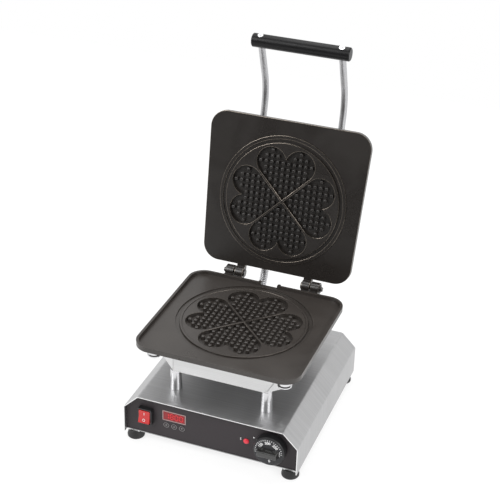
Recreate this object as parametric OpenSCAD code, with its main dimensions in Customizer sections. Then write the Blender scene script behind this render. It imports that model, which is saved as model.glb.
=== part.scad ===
// Single heart-waffle iron for a counter: a low control base on four feet, a heated
// lower plate carried over it on four legs, and a hinged heated upper plate with a
// bow handle. The lid is drawn standing open, leaning back on its stop.
// +Z is up, the controls face -Y, and the part stands on z = 0.

/* [Base] */
// Width of the base
base_w = 310; // [270:1:380]
// Depth of the base
base_d = 324; // [312:1:390]
// Height of the folded base cover, without its feet
base_h = 77; // [68:1:100]
// Width and height of the sloped fold along each side
base_fold = 26; // [18:1:32]
// Sheet thickness of the base cover
sheet_t = 1.5; // [1:0.1:2.5]
// How far the front and rear panels sit inside the cover
panel_recess = 8; // [4:0.5:12]
// Thickness of the front panel
front_panel_t = 2; // [1.5:0.1:3]
// Width of the lip that carries the bottom cover
lip_w = 24; // [20:1:34]
// Distance from the front edge of the cover to the part's origin
origin_back = 208.2; // [150:0.1:260]

/* [Feet] */
// Diameter of a rubber foot
foot_d = 30; // [24:1:36]
// Height of a rubber foot
foot_h = 15; // [10:1:22]
// Distance of a foot's centre from the front, rear and side edges
foot_inset = 15.5; // [13:0.5:24]
// Diameter of the screw that holds a foot
foot_screw_d = 5; // [4:0.5:6]

/* [Legs] */
// Diameter of a leg at its foot
leg_d_low = 22; // [18:1:28]
// Diameter of a leg under the housing
leg_d_top = 18; // [14:1:22]
// Height of a leg
leg_h = 39; // [28:1:55]
// Distance between the left and right legs
leg_span_x = 162; // [130:1:166]
// Diameter of the bolt through a leg
leg_bolt_d = 6; // [5:0.5:8]

/* [Heater housings] */
// Width and depth of a heater housing
housing_w = 224; // [216:1:232]
// Depth of a heater housing from its plate to its floor
housing_h = 49; // [44:1:60]
// Size of the cut across each corner of a housing
housing_cut = 30; // [20:1:40]
// Sheet thickness of a housing
housing_t = 1.2; // [0.8:0.1:2]
// Thickness of the insulation in a housing
wool_t = 12; // [6:1:13]
// Diameter of the tubular heating element
element_d = 8.5; // [6:0.5:10]
// Radius of the heating element's loop
element_r = 84; // [60:1:92]
// Thickness of the plate that clamps the element
clamp_plate_t = 3; // [2:0.5:5]

/* [Baking plates] */
// Width of the lower plate
plate_w = 288; // [270:1:300]
// Depth of both plates
plate_d = 274; // [262:1:290]
// Width of the upper plate beside the hinges
lid_w_hinge = 276; // [262:1:300]
// Width of the upper plate beside the handle
lid_w_front = 296; // [270:1:310]
// Corner radius of the plates
plate_corner_r = 30; // [16:1:40]
// Distance from the front of the base to the front of the lower plate
plate_set_back = 7.5; // [2:0.5:14]
// Height of the lower plate's outer wall
rim_h = 8.8; // [7:0.1:12]
// Width of the raised rim
rim_w = 4.5; // [3:0.5:7]
// Depth of the tray inside the rim
tray_depth = 5.6; // [4.5:0.1:6]
// Thickness of the upper plate at its edge
lid_edge_t = 9.5; // [7:0.5:13]
// Depth of the thick heated middle behind each plate
boss_t = 17; // [14:1:22]
// Radius of the thick heated middle
boss_r = 108; // [106:0.5:109]
// Gap between rim and upper plate when the lid is shut
shut_gap = 1; // [0.6:0.1:2]

/* [Waffle pattern] */
// Distance from the plate's hinge-side edge to the centre of the hearts
pattern_edge = 127.5; // [120:0.5:135]
// Radius of the round baking face
disc_r = 105; // [101:0.5:106]
// Outer radius of the ring around the baking face
ring_r = 117; // [113:0.5:119]
// Width of the raised ring
ring_w = 6.5; // [4:0.5:7]
// Depth of the overflow groove in the lower plate
groove_depth = 2; // [1:0.1:2.4]
// Height of the ring on the upper plate
ring_h = 1.6; // [0.8:0.1:1.8]
// Height of the round baking face on the upper plate
disc_h = 4.4; // [2:0.1:5]
// Radius of a heart's two lobes
lobe_r = 27; // [22:0.5:28]
// Distance of a lobe's centre from the heart's middle line
lobe_x = 26.4; // [20:0.1:27]
// Width of the rib between two hearts
rib_w = 4; // [3:0.5:8]
// Depth of the heart pockets
pocket_depth = 7; // [5:0.5:9]
// Spacing of the studs in the pockets
stud_pitch = 10.4; // [9:0.1:13]
// Width of a stud
stud_w = 6.4; // [4.5:0.1:7.5]

/* [Lid hinge] */
// Distance from the lower plate's rear edge to the hinge axis
hinge_back = 17.3; // [15:0.1:22]
// Diameter of a hinge knuckle
knuckle_d = 22; // [18:0.5:24]
// Length of a hinge knuckle
knuckle_l = 15.5; // [12:0.5:20]
// Distance from the middle of the plate to the gap between the knuckles
hinge_x = 72; // [60:1:90]
// Gap between the two knuckles of a hinge
knuckle_gap = 2; // [1:0.1:3]
// Diameter of a hinge pin
pin_d = 8; // [6:0.5:10]
// Angle by which the open lid leans back past upright
lid_lean = 12.7; // [5:0.1:20]

/* [Handle] */
// Diameter of a handle rod
rod_d = 12; // [9:0.5:14]
// Distance between the two rods
rod_span = 146; // [110:1:180]
// Angle by which the rods bend forward
rod_bend = 33; // [15:1:40]
// Radius of the bend on the rod's centre line
rod_bend_r = 110; // [70:5:140]
// Distance from the hinge axis to the start of the bend
rod_bend_start = 295; // [285:1:310]
// Length of straight rod between the bend and the grip's centre
rod_tip_l = 73; // [60:1:90]
// Distance from the hinge axis to the rods' lower ends
rod_start = 70; // [60:1:100]
// Diameter of the grip
grip_d = 24; // [20:1:30]
// Length of the grip
grip_l = 176; // [140:1:220]
// Diameter of the screws in the grip
grip_screw_d = 6; // [5:1:8]

/* [Controls] */
// Height of the middle of the dial and the switch above the cover's lower edge
control_z = 40; // [34:0.5:42]
// Place of the dial across the front
dial_x = 108; // [90:1:112]
// Diameter of the thermostat dial
dial_d = 54; // [40:1:56]
// Height of the dial's skirt off the panel
dial_h = 16; // [10:1:20]
// Height of the grip bar on the dial
dial_bar_h = 12; // [8:1:16]
// Place of the rocker switch across the front
switch_x = -116; // [-118:1:-100]
// Width of the switch's collar
switch_w = 26; // [22:1:30]
// Height of the switch's collar
switch_h = 32; // [28:1:36]
// How far the switch's collar stands off the panel
switch_out = 9; // [5:1:12]
// Place of the display across the front
display_x = -65.5; // [-72:0.5:-55]
// Width of the display window
display_w = 40; // [34:1:46]
// Height of the display window
display_h = 17; // [13:1:20]
// Height of the display's middle above the cover's lower edge
display_z = 47.5; // [44:0.5:52]
// Spacing of the three keys under the display
key_pitch = 14.2; // [13:0.1:17]
// Diameter of a key
key_d = 10; // [7:0.5:11]
// Height of the keys' middle above the cover's lower edge
key_z = 28.5; // [22:0.5:30]
// Travel of a key
key_travel = 0.8; // [0.4:0.1:1.2]
// Place of the signal lamp across the front
lamp_x = 63.5; // [50:0.5:70]
// Diameter of the signal lamp's lens
lamp_d = 9.5; // [6:0.5:12]
// Height of the lamp's middle above the cover's lower edge
lamp_z = 37; // [28:0.5:45]

/* [Conduit] */
// Diameter of the flexible metal conduit between base and lid
conduit_d = 15; // [10:0.5:16]
// Place of the conduit across the appliance
conduit_x = -28; // [-36:1:36]
// Distance from the rear edge of the base to the conduit
conduit_back = 19; // [16:1:24]
// Height of a conduit gland off its sheet
gland_h = 12; // [8:1:16]

/* [Fits] */
// Gap around parts that drop into a sheet or a cut-out
fit_gap = 0.3; // [0.2:0.05:0.5]
// Radial gap of a pin that turns in its bore
run_gap = 0.05; // [0.02:0.01:0.1]
// Radial gap around a screw in its hole
screw_gap = 0.25; // [0.2:0.05:0.5]

/* [Hidden] */
$fn = 48;

// Folding a 45 degree slope: how much a cut shrinks per millimetre of wall
FOLD_K = 2 - sqrt(2);
ROOT2 = sqrt(2);

// Heights above the counter
deck_z = foot_h + base_h;
cover_z0 = foot_h;
housing_z0 = deck_z + leg_h;
plate_z0 = housing_z0 + housing_h;
rim_z = plate_z0 + rim_h;
tray_z = rim_z - tray_depth;
disc_seat_r = max(ring_r - ring_w - 0.5, boss_r + 1);

// Depth places, from the front edge of the base
plate_y0 = plate_set_back;
plate_y1 = plate_set_back + plate_d;
pattern_y = plate_y1 - pattern_edge;
hinge_y = plate_y1 + hinge_back;
hinge_z = rim_z - 0.6;
// Height of the shut baking side over the hinge axis
face_off = rim_z + shut_gap - hinge_z;
// Distance along the lid from the hinge axis to its near edge
lid_s0 = hinge_back - 3.2;
lid_pattern_s = hinge_back + pattern_edge;

leg_reach_y = housing_w / 2 - leg_d_top / 2;
leg_y = [pattern_y - leg_reach_y, pattern_y + leg_reach_y];
leg_places = [for (y = leg_y) each [[-leg_span_x / 2, y], [leg_span_x / 2, y]]];
foot_x = base_w / 2 - foot_inset;
foot_places = [for (y = [foot_inset, base_d - foot_inset]) each [[-foot_x, y], [foot_x, y]]];

// Heart outline
tip_y = rib_w / 2 * ROOT2;
lobe_y = lobe_x + (lobe_r + rib_w / 2) * ROOT2;
side_x = lobe_x + lobe_r / ROOT2;
side_y = lobe_y - lobe_r / ROOT2;
stud_wall = stud_w / 2 + 1.2;
stud_count = ceil(ring_r / stud_pitch);

// Insulation: its corners clear the leg nuts
leg_nut_d = leg_bolt_d + 5;
wool_w = housing_w - 2 * housing_t - 2 * fit_gap;
wool_cut = wool_w - leg_span_x / 2 - leg_reach_y + (leg_nut_d / 2 + 1.5) * ROOT2;

// Heated parts, as depths behind a plate's back face
element_depth = boss_t;
clamp_depth = boss_t + element_d / 2 + 0.2;
screw_ring = [for (x = [-1, 1], y = [-1, 1]) [x * 42, y * 42]];
plate_screw_d = 6;
bulb_d = 6;
bulb_l = 80;

// Pouring notch in the lower plate's rear rim, between two small cheeks
spout_w = 30;
cheek_d = 6;

// Hinge pins and their spring clips
pin_head_h = 2;
pin_head_d = pin_d + 5;
pin_end = 5;
clip_t = 1.2;
clip_groove = 1;

// Rear panel: cord gland and slots that let warm air out
gland_thread_d = 16;
gland_x = 95;
gland_z = cover_z0 + 30;
gland_hex_d = gland_thread_d + 8;
gland_cap_d = gland_thread_d + 5;
cord_bore_d = 9;
vent_count = 9;
vent_pitch = 13;
vent_w = 4;
vent_h = 34;

// Handle, in the lid's own frame: s runs along the lid, o outwards from its baking side
lid_back = lid_edge_t;
housing_back = lid_edge_t + housing_h;
rod_o = housing_back + rod_d / 2 + fit_gap;
bend_s = rod_bend_start + rod_bend_r * sin(rod_bend);
bend_o = rod_o - rod_bend_r * (1 - cos(rod_bend));
grip_s = bend_s + rod_tip_l * cos(rod_bend);
grip_o = bend_o - rod_tip_l * sin(rod_bend);
clamp_places = [rod_start + 18, lid_pattern_s + housing_w / 2 - 32];
clamp_w = 36;
clamp_l = 16;
clamp_h = rod_d + 4;
clamp_screw_x = 13;
clamp_screw_d = 4;
rod_lap = 2;

// Controls
panel_y = panel_recess;
panel_back = panel_recess + front_panel_t;
switch_rest_tilt = 9;
rocker_w = switch_w - 6;
rocker_h = switch_h - 9;
rocker_out = 2.2;
collar_front = panel_y - switch_out;
rocker_pivot_y = panel_y - 3;
rocker_reach = norm([rocker_h / 2, rocker_pivot_y - collar_front]);
dial_axis_z = cover_z0 + control_z;
shaft_d = 6;
key_out = 0.6;
key_places = [for (i = [-1, 0, 1]) display_x + i * key_pitch];
board_y = panel_back + 9;
board_t = 1.6;
contact_w = 6;
contact_h = 4.4;
dial_clear = 0.8;
dial_bar_w = 13;
dial_bar_l = dial_d - 8;
bezel = 1.5;
rocker_pin_d = 3;
thermostat_y = panel_back + 4;

// Conduit route: base gland, sweep behind the hinge, lid gland
conduit_y = base_d - conduit_back;
lid_gland_s = lid_pattern_s - housing_w / 2;
lid_gland_o = lid_edge_t + 26;
function lid_point(s, o) = [
    hinge_y + s * sin(lid_lean) + (o + face_off) * cos(lid_lean),
    hinge_z + s * cos(lid_lean) - (o + face_off) * sin(lid_lean)
];
conduit_seat = gland_h + fit_gap + 0.1;
conduit_pull = 34;
conduit_low = [conduit_y, deck_z + conduit_seat];
conduit_top = lid_point(lid_gland_s - conduit_seat, lid_gland_o);
conduit_low_pull = conduit_low + [0, conduit_pull];
conduit_top_pull = lid_point(lid_gland_s - gland_h - conduit_pull, lid_gland_o);
function bezier(a, b, c, d, t) =
    pow(1 - t, 3) * a + 3 * t * pow(1 - t, 2) * b + 3 * t * t * (1 - t) * c + pow(t, 3) * d;
function conduit_at(t) = bezier(conduit_low, conduit_low_pull, conduit_top_pull, conduit_top, t);
conduit_rings = 14;
conduit_sides = 12;

// ---------- shared shapes ----------

// Moves a piece from base places, measured from the front edge, to the part's frame
module seat() {
    translate([0, -origin_back, 0]) children();
}

// Lid frame: +Y runs along the lid from the hinge axis, +Z points out of its baking side
module lid_seat() {
    seat() translate([0, hinge_y, hinge_z]) rotate([90 - lid_lean, 0, 0])
        translate([0, 0, -face_off]) children();
}

// Outward normal of the edge that starts at point i of a counter-clockwise outline
function edge_normal(pts, i) =
    let (a = pts[i], b = pts[(i + 1) % len(pts)], d = (b - a) / norm(b - a)) [d[1], -d[0]];

// Outline with every corner rounded to the same radius
module rounded_outline(pts, r) {
    n = len(pts);
    before = [for (i = [0 : n - 1]) edge_normal(pts, (i + n - 1) % n)];
    after = [for (i = [0 : n - 1]) edge_normal(pts, i)];
    centre = [for (i = [0 : n - 1]) pts[i] - r * (before[i] + after[i]) / (1 + before[i] * after[i])];
    polygon([for (i = [0 : n - 1]) each [centre[i] + r * before[i], centre[i] + r * after[i]]]);
    for (c = centre) translate(c) circle(r = r);
}

module rounded_box(w, h, r) {
    rounded_outline([[-w / 2, -h / 2], [w / 2, -h / 2], [w / 2, h / 2], [-w / 2, h / 2]], r);
}

// Section of the folded cover, standing on y = 0
module fold_profile(w, h, fold) {
    x = w / 2;
    polygon([[-x, 0], [x, 0], [x, h - fold], [x - fold, h], [-x + fold, h], [-x, h - fold]]);
}

// Square with its corners cut off
module cut_square(w, cut) {
    a = w / 2;
    b = w / 2 - cut;
    polygon([[-b, -a], [b, -a], [a, -b], [a, b], [b, a], [-b, a], [-a, b], [-a, -b]]);
}

// Lays a flat section, drawn as x and z, along the depth
module along_y(y0, length) {
    translate([0, y0 + length, 0]) rotate([90, 0, 0]) linear_extrude(length) children();
}

module ring(r_out, r_in, h) {
    difference() {
        cylinder(r = r_out, h = h);
        translate([0, 0, -1]) cylinder(r = r_in, h = h + 2);
    }
}

// Round-headed screw along +Z with its head below z = 0
module screw(d, length, head_d, head_h) {
    translate([0, 0, -head_h]) cylinder(d = head_d, h = head_h);
    cylinder(d = d, h = length);
}

// Screw head with a hexagon socket, its top at z = 0
module socket_head(d, h, key) {
    difference() {
        translate([0, 0, -h]) cylinder(d = d, h = h);
        translate([0, 0, -h / 2]) cylinder(d = key, h = h, $fn = 6);
    }
}

// ---------- base ----------

module base_shell() {
    lip_x = base_w / 2 - sheet_t - lip_w / 2 + 0.01;
    color("silver") seat() difference() {
        union() {
            difference() {
                along_y(0, base_d) translate([0, cover_z0]) fold_profile(base_w, base_h, base_fold);
                along_y(-1, base_d + 2) translate([0, cover_z0 - 1]) fold_profile(
                    base_w - 2 * sheet_t, base_h - sheet_t + 1, base_fold - FOLD_K * sheet_t);
            }
            for (side = [-1, 1])
                translate([side * lip_x, base_d / 2, cover_z0 + sheet_t / 2])
                    cube([lip_w, base_d - 2 * (panel_recess - 1), sheet_t], center = true);
        }
        for (p = leg_places) translate([p[0], p[1], deck_z - 5])
            cylinder(d = leg_bolt_d + 2 * screw_gap, h = 10);
        translate([conduit_x, conduit_y, deck_z - 5]) cylinder(d = conduit_d - 3, h = 10);
        for (p = foot_places) translate([p[0], p[1], cover_z0 - 1])
            cylinder(d = foot_screw_d + 2 * screw_gap, h = 4);
    }
}

// Plate that closes one end of the folded cover
module end_panel(y0, t) {
    h = base_h - 3 * sheet_t - 2 * fit_gap;
    along_y(y0, t) translate([0, cover_z0 + 2 * sheet_t + fit_gap]) fold_profile(
        base_w - 2 * sheet_t - 2 * fit_gap, h, base_fold - FOLD_K * (sheet_t + fit_gap));
}

module front_panel() {
    key_hole = key_d + 2 * fit_gap;
    color([0.2, 0.18, 0.18]) seat() difference() {
        end_panel(panel_y, front_panel_t);
        translate([switch_x, panel_y - 1, dial_axis_z]) rotate([-90, 0, 0])
            linear_extrude(front_panel_t + 2)
                square([switch_w - 2 * bezel, switch_h - 2 * bezel], center = true);
        translate([display_x, panel_y - 1, cover_z0 + display_z]) rotate([-90, 0, 0])
            linear_extrude(front_panel_t + 2)
                square([display_w - 2 * bezel, display_h - 2 * bezel], center = true);
        for (x = key_places) translate([x, panel_y - 1, cover_z0 + key_z]) rotate([-90, 0, 0])
            cylinder(d = key_hole, h = front_panel_t + 2);
        translate([lamp_x, panel_y - 1, cover_z0 + lamp_z]) rotate([-90, 0, 0])
            cylinder(d = lamp_d - 2, h = front_panel_t + 2);
        translate([dial_x, panel_y - 1, dial_axis_z]) rotate([-90, 0, 0])
            cylinder(d = shaft_d + 2, h = front_panel_t + 2);
    }
}

module rear_panel() {
    y0 = base_d - panel_recess - sheet_t;
    color("silver") seat() difference() {
        end_panel(y0, sheet_t);
        translate([gland_x, y0 - 1, gland_z]) rotate([-90, 0, 0])
            cylinder(d = gland_thread_d + 2 * screw_gap, h = sheet_t + 2);
        for (i = [0 : vent_count - 1])
            translate([-100 + i * vent_pitch, y0 - 1, cover_z0 + 20])
                cube([vent_w, sheet_t + 2, vent_h]);
    }
}

module bottom_cover() {
    w = base_w - 2 * sheet_t - 2 * fit_gap;
    d = base_d - 2 * panel_recess + 2;
    y0 = panel_recess - 1;
    color("silver") seat() difference() {
        translate([-w / 2, y0, cover_z0 + sheet_t]) cube([w, d, sheet_t]);
        for (i = [0 : vent_count - 1], row = [0, 1])
            translate([(i - vent_count / 2) * vent_pitch * 1.6, 95 + row * 90, cover_z0]) cube([6, 50, 10]);
        for (p = foot_places) translate([p[0], p[1], cover_z0])
            cylinder(d = foot_screw_d + 2 * screw_gap, h = 10);
    }
}

module foot(place) {
    color([0.08, 0.08, 0.08]) seat() translate([place[0], place[1], 0]) difference() {
        rotate_extrude() polygon([[0, 0], [foot_d / 2 - 2, 0], [foot_d / 2, 2], [foot_d / 2, 5],
            [foot_d / 2 - 3, foot_h], [0, foot_h]]);
        translate([0, 0, -1]) cylinder(d = foot_screw_d + 2 * screw_gap, h = foot_h + 2);
        translate([0, 0, -1]) cylinder(d = foot_screw_d + 6, h = foot_h / 2 + 1);
    }
}

module foot_screws() {
    head_h = 3;
    color("silver") seat() for (p = foot_places) translate([p[0], p[1], foot_h / 2])
        screw(foot_screw_d, foot_h / 2 + 10, foot_screw_d + 4.5, head_h);
}

// ---------- legs and lower heater housing ----------

module leg(place) {
    color([0.85, 0.85, 0.86]) seat() translate([place[0], place[1], deck_z]) difference() {
        cylinder(d1 = leg_d_low, d2 = leg_d_top, h = leg_h);
        translate([0, 0, -1]) cylinder(d = leg_bolt_d + 2 * screw_gap, h = leg_h + 2);
    }
}

module leg_bolts() {
    nut_h = 6;
    color("silver") seat() for (p = leg_places) translate([p[0], p[1], deck_z - sheet_t]) {
        screw(leg_bolt_d, leg_h + sheet_t + housing_t + nut_h + 2, leg_nut_d, 4);
        translate([0, 0, leg_h + sheet_t + housing_t]) cylinder(d = leg_nut_d, h = nut_h, $fn = 6);
    }
}

// Open sheet box, floor on z = 0, with the corners cut across
module housing_box() {
    difference() {
        linear_extrude(housing_h) cut_square(housing_w, housing_cut);
        translate([0, 0, housing_t]) linear_extrude(housing_h)
            cut_square(housing_w - 2 * housing_t, housing_cut - FOLD_K * housing_t);
        for (p = screw_ring) translate([p[0], p[1], -1])
            cylinder(d = plate_screw_d + 2 * screw_gap, h = housing_t + 2);
    }
}

module lower_place() {
    seat() translate([0, pattern_y, 0]) children();
}

module lower_housing() {
    color("gainsboro") difference() {
        lower_place() translate([0, 0, housing_z0]) housing_box();
        seat() for (p = leg_places) translate([p[0], p[1], housing_z0 - 1])
            cylinder(d = leg_bolt_d + 2 * screw_gap, h = housing_t + 2);
    }
}

// Insulation slab with room for the screws, its underside on z = 0
module wool_slab() {
    difference() {
        linear_extrude(wool_t) cut_square(wool_w, wool_cut);
        for (p = screw_ring) translate([p[0], p[1], -1])
            cylinder(d = plate_screw_d + 2 * fit_gap, h = wool_t + 2);
    }
}

module lower_insulation() {
    color([0.85, 0.82, 0.7]) lower_place() translate([0, 0, housing_z0 + housing_t]) wool_slab();
}

// Tubular element, its centre line on z = 0, with both ends turned down
module element_loop() {
    gap = 24;
    rotate([0, 0, 90 + gap / 2]) rotate_extrude(angle = 360 - gap)
        translate([element_r, 0]) circle(d = element_d);
    for (side = [-1, 1]) rotate([0, 0, 90 + side * (gap / 2 + 5)]) translate([element_r, 0, 0]) {
        translate([0, 0, -10]) cylinder(d = element_d - 2, h = 10);
        translate([0, 0, -17]) cylinder(d = 3, h = 8);
    }
}

module lower_element() {
    color([0.35, 0.33, 0.32]) lower_place() translate([0, 0, plate_z0 - element_depth]) element_loop();
}

// Ring-shaped steel plate that presses the element into the boss, its back on z = 0
module clamp_plate() {
    difference() {
        cylinder(r = element_r + element_d / 2 + 4, h = clamp_plate_t);
        translate([0, element_r, -1]) cylinder(d = 60, h = clamp_plate_t + 2);
        for (p = screw_ring) translate([p[0], p[1], -1])
            cylinder(d = plate_screw_d + 2 * screw_gap, h = clamp_plate_t + 2);
    }
}

module lower_clamp_plate() {
    color("gray") lower_place() translate([0, 0, plate_z0 - clamp_depth - clamp_plate_t]) clamp_plate();
}

// Screws that draw a housing, the clamp plate and the boss together, heads under z = 0
module plate_screws() {
    for (p = screw_ring) translate([p[0], p[1], 0])
        screw(plate_screw_d - 2 * run_gap, housing_h - boss_t + 9, plate_screw_d + 5, 4);
}

module lower_screws() {
    color("silver") lower_place() translate([0, 0, housing_z0]) plate_screws();
}

module thermostat_bulb() {
    color([0.72, 0.45, 0.3]) lower_place()
        translate([-bulb_l / 2, -20, plate_z0 - boss_t - 0.3]) rotate([0, 90, 0])
            cylinder(d = bulb_d, h = bulb_l);
}

// ---------- baking plates ----------

module heart() {
    for (side = [-1, 1]) translate([side * lobe_x, lobe_y]) circle(r = lobe_r);
    polygon([[0, tip_y], [side_x, side_y], [lobe_x, lobe_y], [-lobe_x, lobe_y], [-side_x, side_y]]);
}

// True where a point lies at least m inside the heart's outline
function in_heart(u, v, m) =
    norm([abs(u) - lobe_x, v - lobe_y]) < lobe_r - m
    || (v < lobe_y && abs(u) + v < side_x + side_y && (v - abs(u) - tip_y) / ROOT2 > m);

// Heart pocket with its studs left standing
module heart_pocket() {
    difference() {
        heart();
        for (i = [-stud_count : stud_count], j = [0 : stud_count]) {
            u = (i + 0.5) * stud_pitch;
            v = (j + 0.5) * stud_pitch;
            if (in_heart(u, v, stud_wall)) translate([u, v]) square(stud_w, center = true);
        }
    }
}

// Four pockets whose mouths lie on z = 0
module heart_pockets(clear) {
    for (turn = [0 : 90 : 270]) rotate([0, 0, turn])
        translate([0, 0, -pocket_depth]) linear_extrude(pocket_depth + clear) heart_pocket();
}

// Thick middle behind a plate, its top on z = 0, with a bed for the element and the bulb
module boss(bulb_bed) {
    difference() {
        translate([0, 0, -boss_t]) cylinder(r = boss_r, h = boss_t);
        translate([0, 0, -boss_t]) rotate_extrude() translate([element_r, 0])
            circle(d = element_d + 2 * fit_gap);
        for (p = screw_ring) translate([p[0], p[1], -boss_t - 1]) cylinder(d = plate_screw_d, h = 10);
        if (bulb_bed) translate([-bulb_l / 2 - fit_gap, -20, -boss_t - 0.3]) rotate([0, 90, 0])
            cylinder(d = bulb_d + 2 * fit_gap, h = bulb_l + 2 * fit_gap);
    }
}

// Knuckle of a hinge with the arm that ties it to its plate, axis on y = 0, z = 0
module knuckle(x0, arm_y, arm_z0, arm_t, bore_gap) {
    translate([x0, 0, 0]) difference() {
        union() {
            rotate([0, 90, 0]) cylinder(d = knuckle_d, h = knuckle_l);
            translate([0, min(0, arm_y), arm_z0]) cube([knuckle_l, abs(arm_y), arm_t]);
        }
        translate([-1, 0, 0]) rotate([0, 90, 0]) cylinder(d = pin_d + 2 * bore_gap, h = knuckle_l + 2);
    }
}

// Tray of the lower plate, open in the middle for the baking disc
module lower_plate() {
    outer = [[-plate_w / 2, plate_y0], [plate_w / 2, plate_y0],
        [plate_w / 2, plate_y1], [-plate_w / 2, plate_y1]];
    inner = [[-plate_w / 2 + rim_w, plate_y0 + rim_w], [plate_w / 2 - rim_w, plate_y0 + rim_w],
        [plate_w / 2 - rim_w, plate_y1 - rim_w], [-plate_w / 2 + rim_w, plate_y1 - rim_w]];
    color([0.2, 0.18, 0.17]) seat() difference() {
        union() {
            difference() {
                translate([0, 0, plate_z0]) linear_extrude(rim_h) rounded_outline(outer, plate_corner_r);
                translate([0, 0, tray_z]) linear_extrude(rim_h)
                    rounded_outline(inner, plate_corner_r - rim_w);
                translate([-spout_w / 2, plate_y1 - rim_w - 1, tray_z])
                    cube([spout_w, rim_w + 2, rim_h]);
            }
            for (side = [-1, 1]) translate([side * (spout_w / 2 + cheek_d / 2), plate_y1, plate_z0])
                cylinder(d = cheek_d, h = rim_h + 0.5);
        }
        translate([0, pattern_y, tray_z - groove_depth]) cylinder(r = ring_r, h = 20);
        translate([0, pattern_y, plate_z0 - 1]) cylinder(r = disc_seat_r, h = 20);
    }
}

// Thick round disc with the heart pockets, seated in the tray
module baking_disc() {
    ridge_h = 0.8;
    color([0.2, 0.18, 0.17]) seat() translate([0, pattern_y, 0]) difference() {
        union() {
            translate([0, 0, plate_z0]) boss(true);
            translate([0, 0, plate_z0]) cylinder(r = disc_seat_r - run_gap, h = tray_z - plate_z0);
            translate([0, 0, tray_z - 0.5]) ring(disc_seat_r - run_gap, disc_r, ridge_h + 0.5);
        }
        translate([0, 0, tray_z]) heart_pockets(5);
    }
}

// Knuckles that stand on the tray's rear edge, tight on the hinge pins
module hinge_lugs() {
    color([0.2, 0.18, 0.17]) seat() for (side = [-1, 1]) {
        x0 = side > 0 ? hinge_x + knuckle_gap / 2 : -hinge_x - knuckle_gap / 2 - knuckle_l;
        translate([0, hinge_y, hinge_z])
            knuckle(x0, -hinge_back, plate_z0 - hinge_z, rim_h - 0.6, 0.01);
    }
}

module plate_foot(side) {
    color([0.85, 0.85, 0.86]) seat() translate([side * 115, plate_y0 + 32, plate_z0 - 24])
        rotate_extrude() polygon([[0, 0], [11, 0], [12, 1], [12, 3], [10, 4.5], [10, 13], [9, 14],
            [5, 14], [5, 24], [0, 24]]);
}

module upper_plate() {
    s1 = lid_s0 + plate_d;
    outline = [[-lid_w_hinge / 2, lid_s0], [lid_w_hinge / 2, lid_s0], [lid_w_front / 2, s1],
        [-lid_w_front / 2, s1]];
    color([0.17, 0.15, 0.14]) lid_seat() difference() {
        union() {
            translate([0, 0, -lid_edge_t]) linear_extrude(lid_edge_t)
                rounded_outline(outline, plate_corner_r);
            translate([0, lid_pattern_s, -lid_edge_t]) boss(false);
            translate([0, lid_pattern_s, -1]) ring(ring_r, ring_r - ring_w, ring_h + 1);
            translate([0, lid_pattern_s, -1]) cylinder(r = disc_r - 0.5, h = disc_h + 1);
            for (side = [-1, 1]) {
                x0 = side > 0 ? hinge_x - knuckle_gap / 2 - knuckle_l : -hinge_x + knuckle_gap / 2;
                translate([0, 0, face_off])
                    knuckle(x0, lid_s0 + 1, -face_off - lid_edge_t, lid_edge_t, run_gap);
            }
        }
        translate([0, lid_pattern_s, disc_h]) heart_pockets(5);
    }
}

// ---------- hinge pins ----------

module hinge_pin(side) {
    outer_x = hinge_x + knuckle_gap / 2 + knuckle_l;
    inner_x = hinge_x - knuckle_gap / 2 - knuckle_l;
    length = outer_x - inner_x + pin_end;
    color("silver") seat() translate([side * (inner_x - fit_gap), hinge_y, hinge_z])
        rotate([0, side * 90, 0]) difference() {
            union() {
                cylinder(d = pin_d, h = length);
                translate([0, 0, -pin_head_h]) cylinder(d = pin_head_d, h = pin_head_h);
            }
            translate([0, 0, outer_x - inner_x + 2 * fit_gap])
                ring(pin_d, pin_d / 2 - clip_groove, clip_t + 0.2);
        }
}

module hinge_clips() {
    x0 = hinge_x + knuckle_gap / 2 + knuckle_l + fit_gap + 0.1;
    color("dimgray") seat() for (side = [-1, 1]) translate([side * x0, hinge_y, hinge_z])
        rotate([0, side * 90, 0]) difference() {
            ring(pin_d / 2 + 3, pin_d / 2 - clip_groove + run_gap, clip_t);
            translate([-2.4, 0, -1]) cube([4.8, pin_d, clip_t + 2]);
        }
}

// ---------- controls ----------

module front_place(x, z) {
    seat() translate([x, 0, cover_z0 + z]) children();
}

module switch_body() {
    body_depth = 24;
    cavity_h = 2 * (rocker_reach + 0.4);
    color([0.06, 0.06, 0.06]) front_place(switch_x, control_z) difference() {
        union() {
            translate([0, panel_y, 0]) rotate([90, 0, 0]) linear_extrude(switch_out)
                rounded_box(switch_w, switch_h, 3);
            translate([0, panel_back + body_depth, 0]) rotate([90, 0, 0])
                linear_extrude(body_depth + front_panel_t)
                    square([switch_w - 2 * bezel - 2 * fit_gap, switch_h - 2 * bezel - 2 * fit_gap],
                        center = true);
        }
        translate([0, panel_y + 6, 0]) rotate([90, 0, 0]) linear_extrude(switch_out + 20)
            square([rocker_w + 2 * fit_gap, cavity_h], center = true);
        translate([0, rocker_pivot_y, 0]) rotate([0, 90, 0])
            cylinder(d = rocker_pin_d + 2 * run_gap, h = rocker_w + 4, center = true);
    }
}

// Rocker: two sloped faces over a narrow back, turning on its own stub pins
module switch_rocker() {
    face = rocker_pivot_y - collar_front + rocker_out;
    edge = rocker_h / 2;
    color([0.85, 0.08, 0.08]) seat() translate([switch_x, rocker_pivot_y, dial_axis_z])
        rotate([-switch_rest_tilt, 0, 0]) {
            rotate([90, 0, 90]) translate([0, 0, -rocker_w / 2]) linear_extrude(rocker_w)
                polygon([[-face - 1, -edge], [1 - face, 0], [-face - 1, edge], [0, edge],
                    [5, 3], [5, -3], [0, -edge]]);
            rotate([0, 90, 0]) cylinder(d = rocker_pin_d, h = rocker_w + 3, center = true);
        }
}

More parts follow.
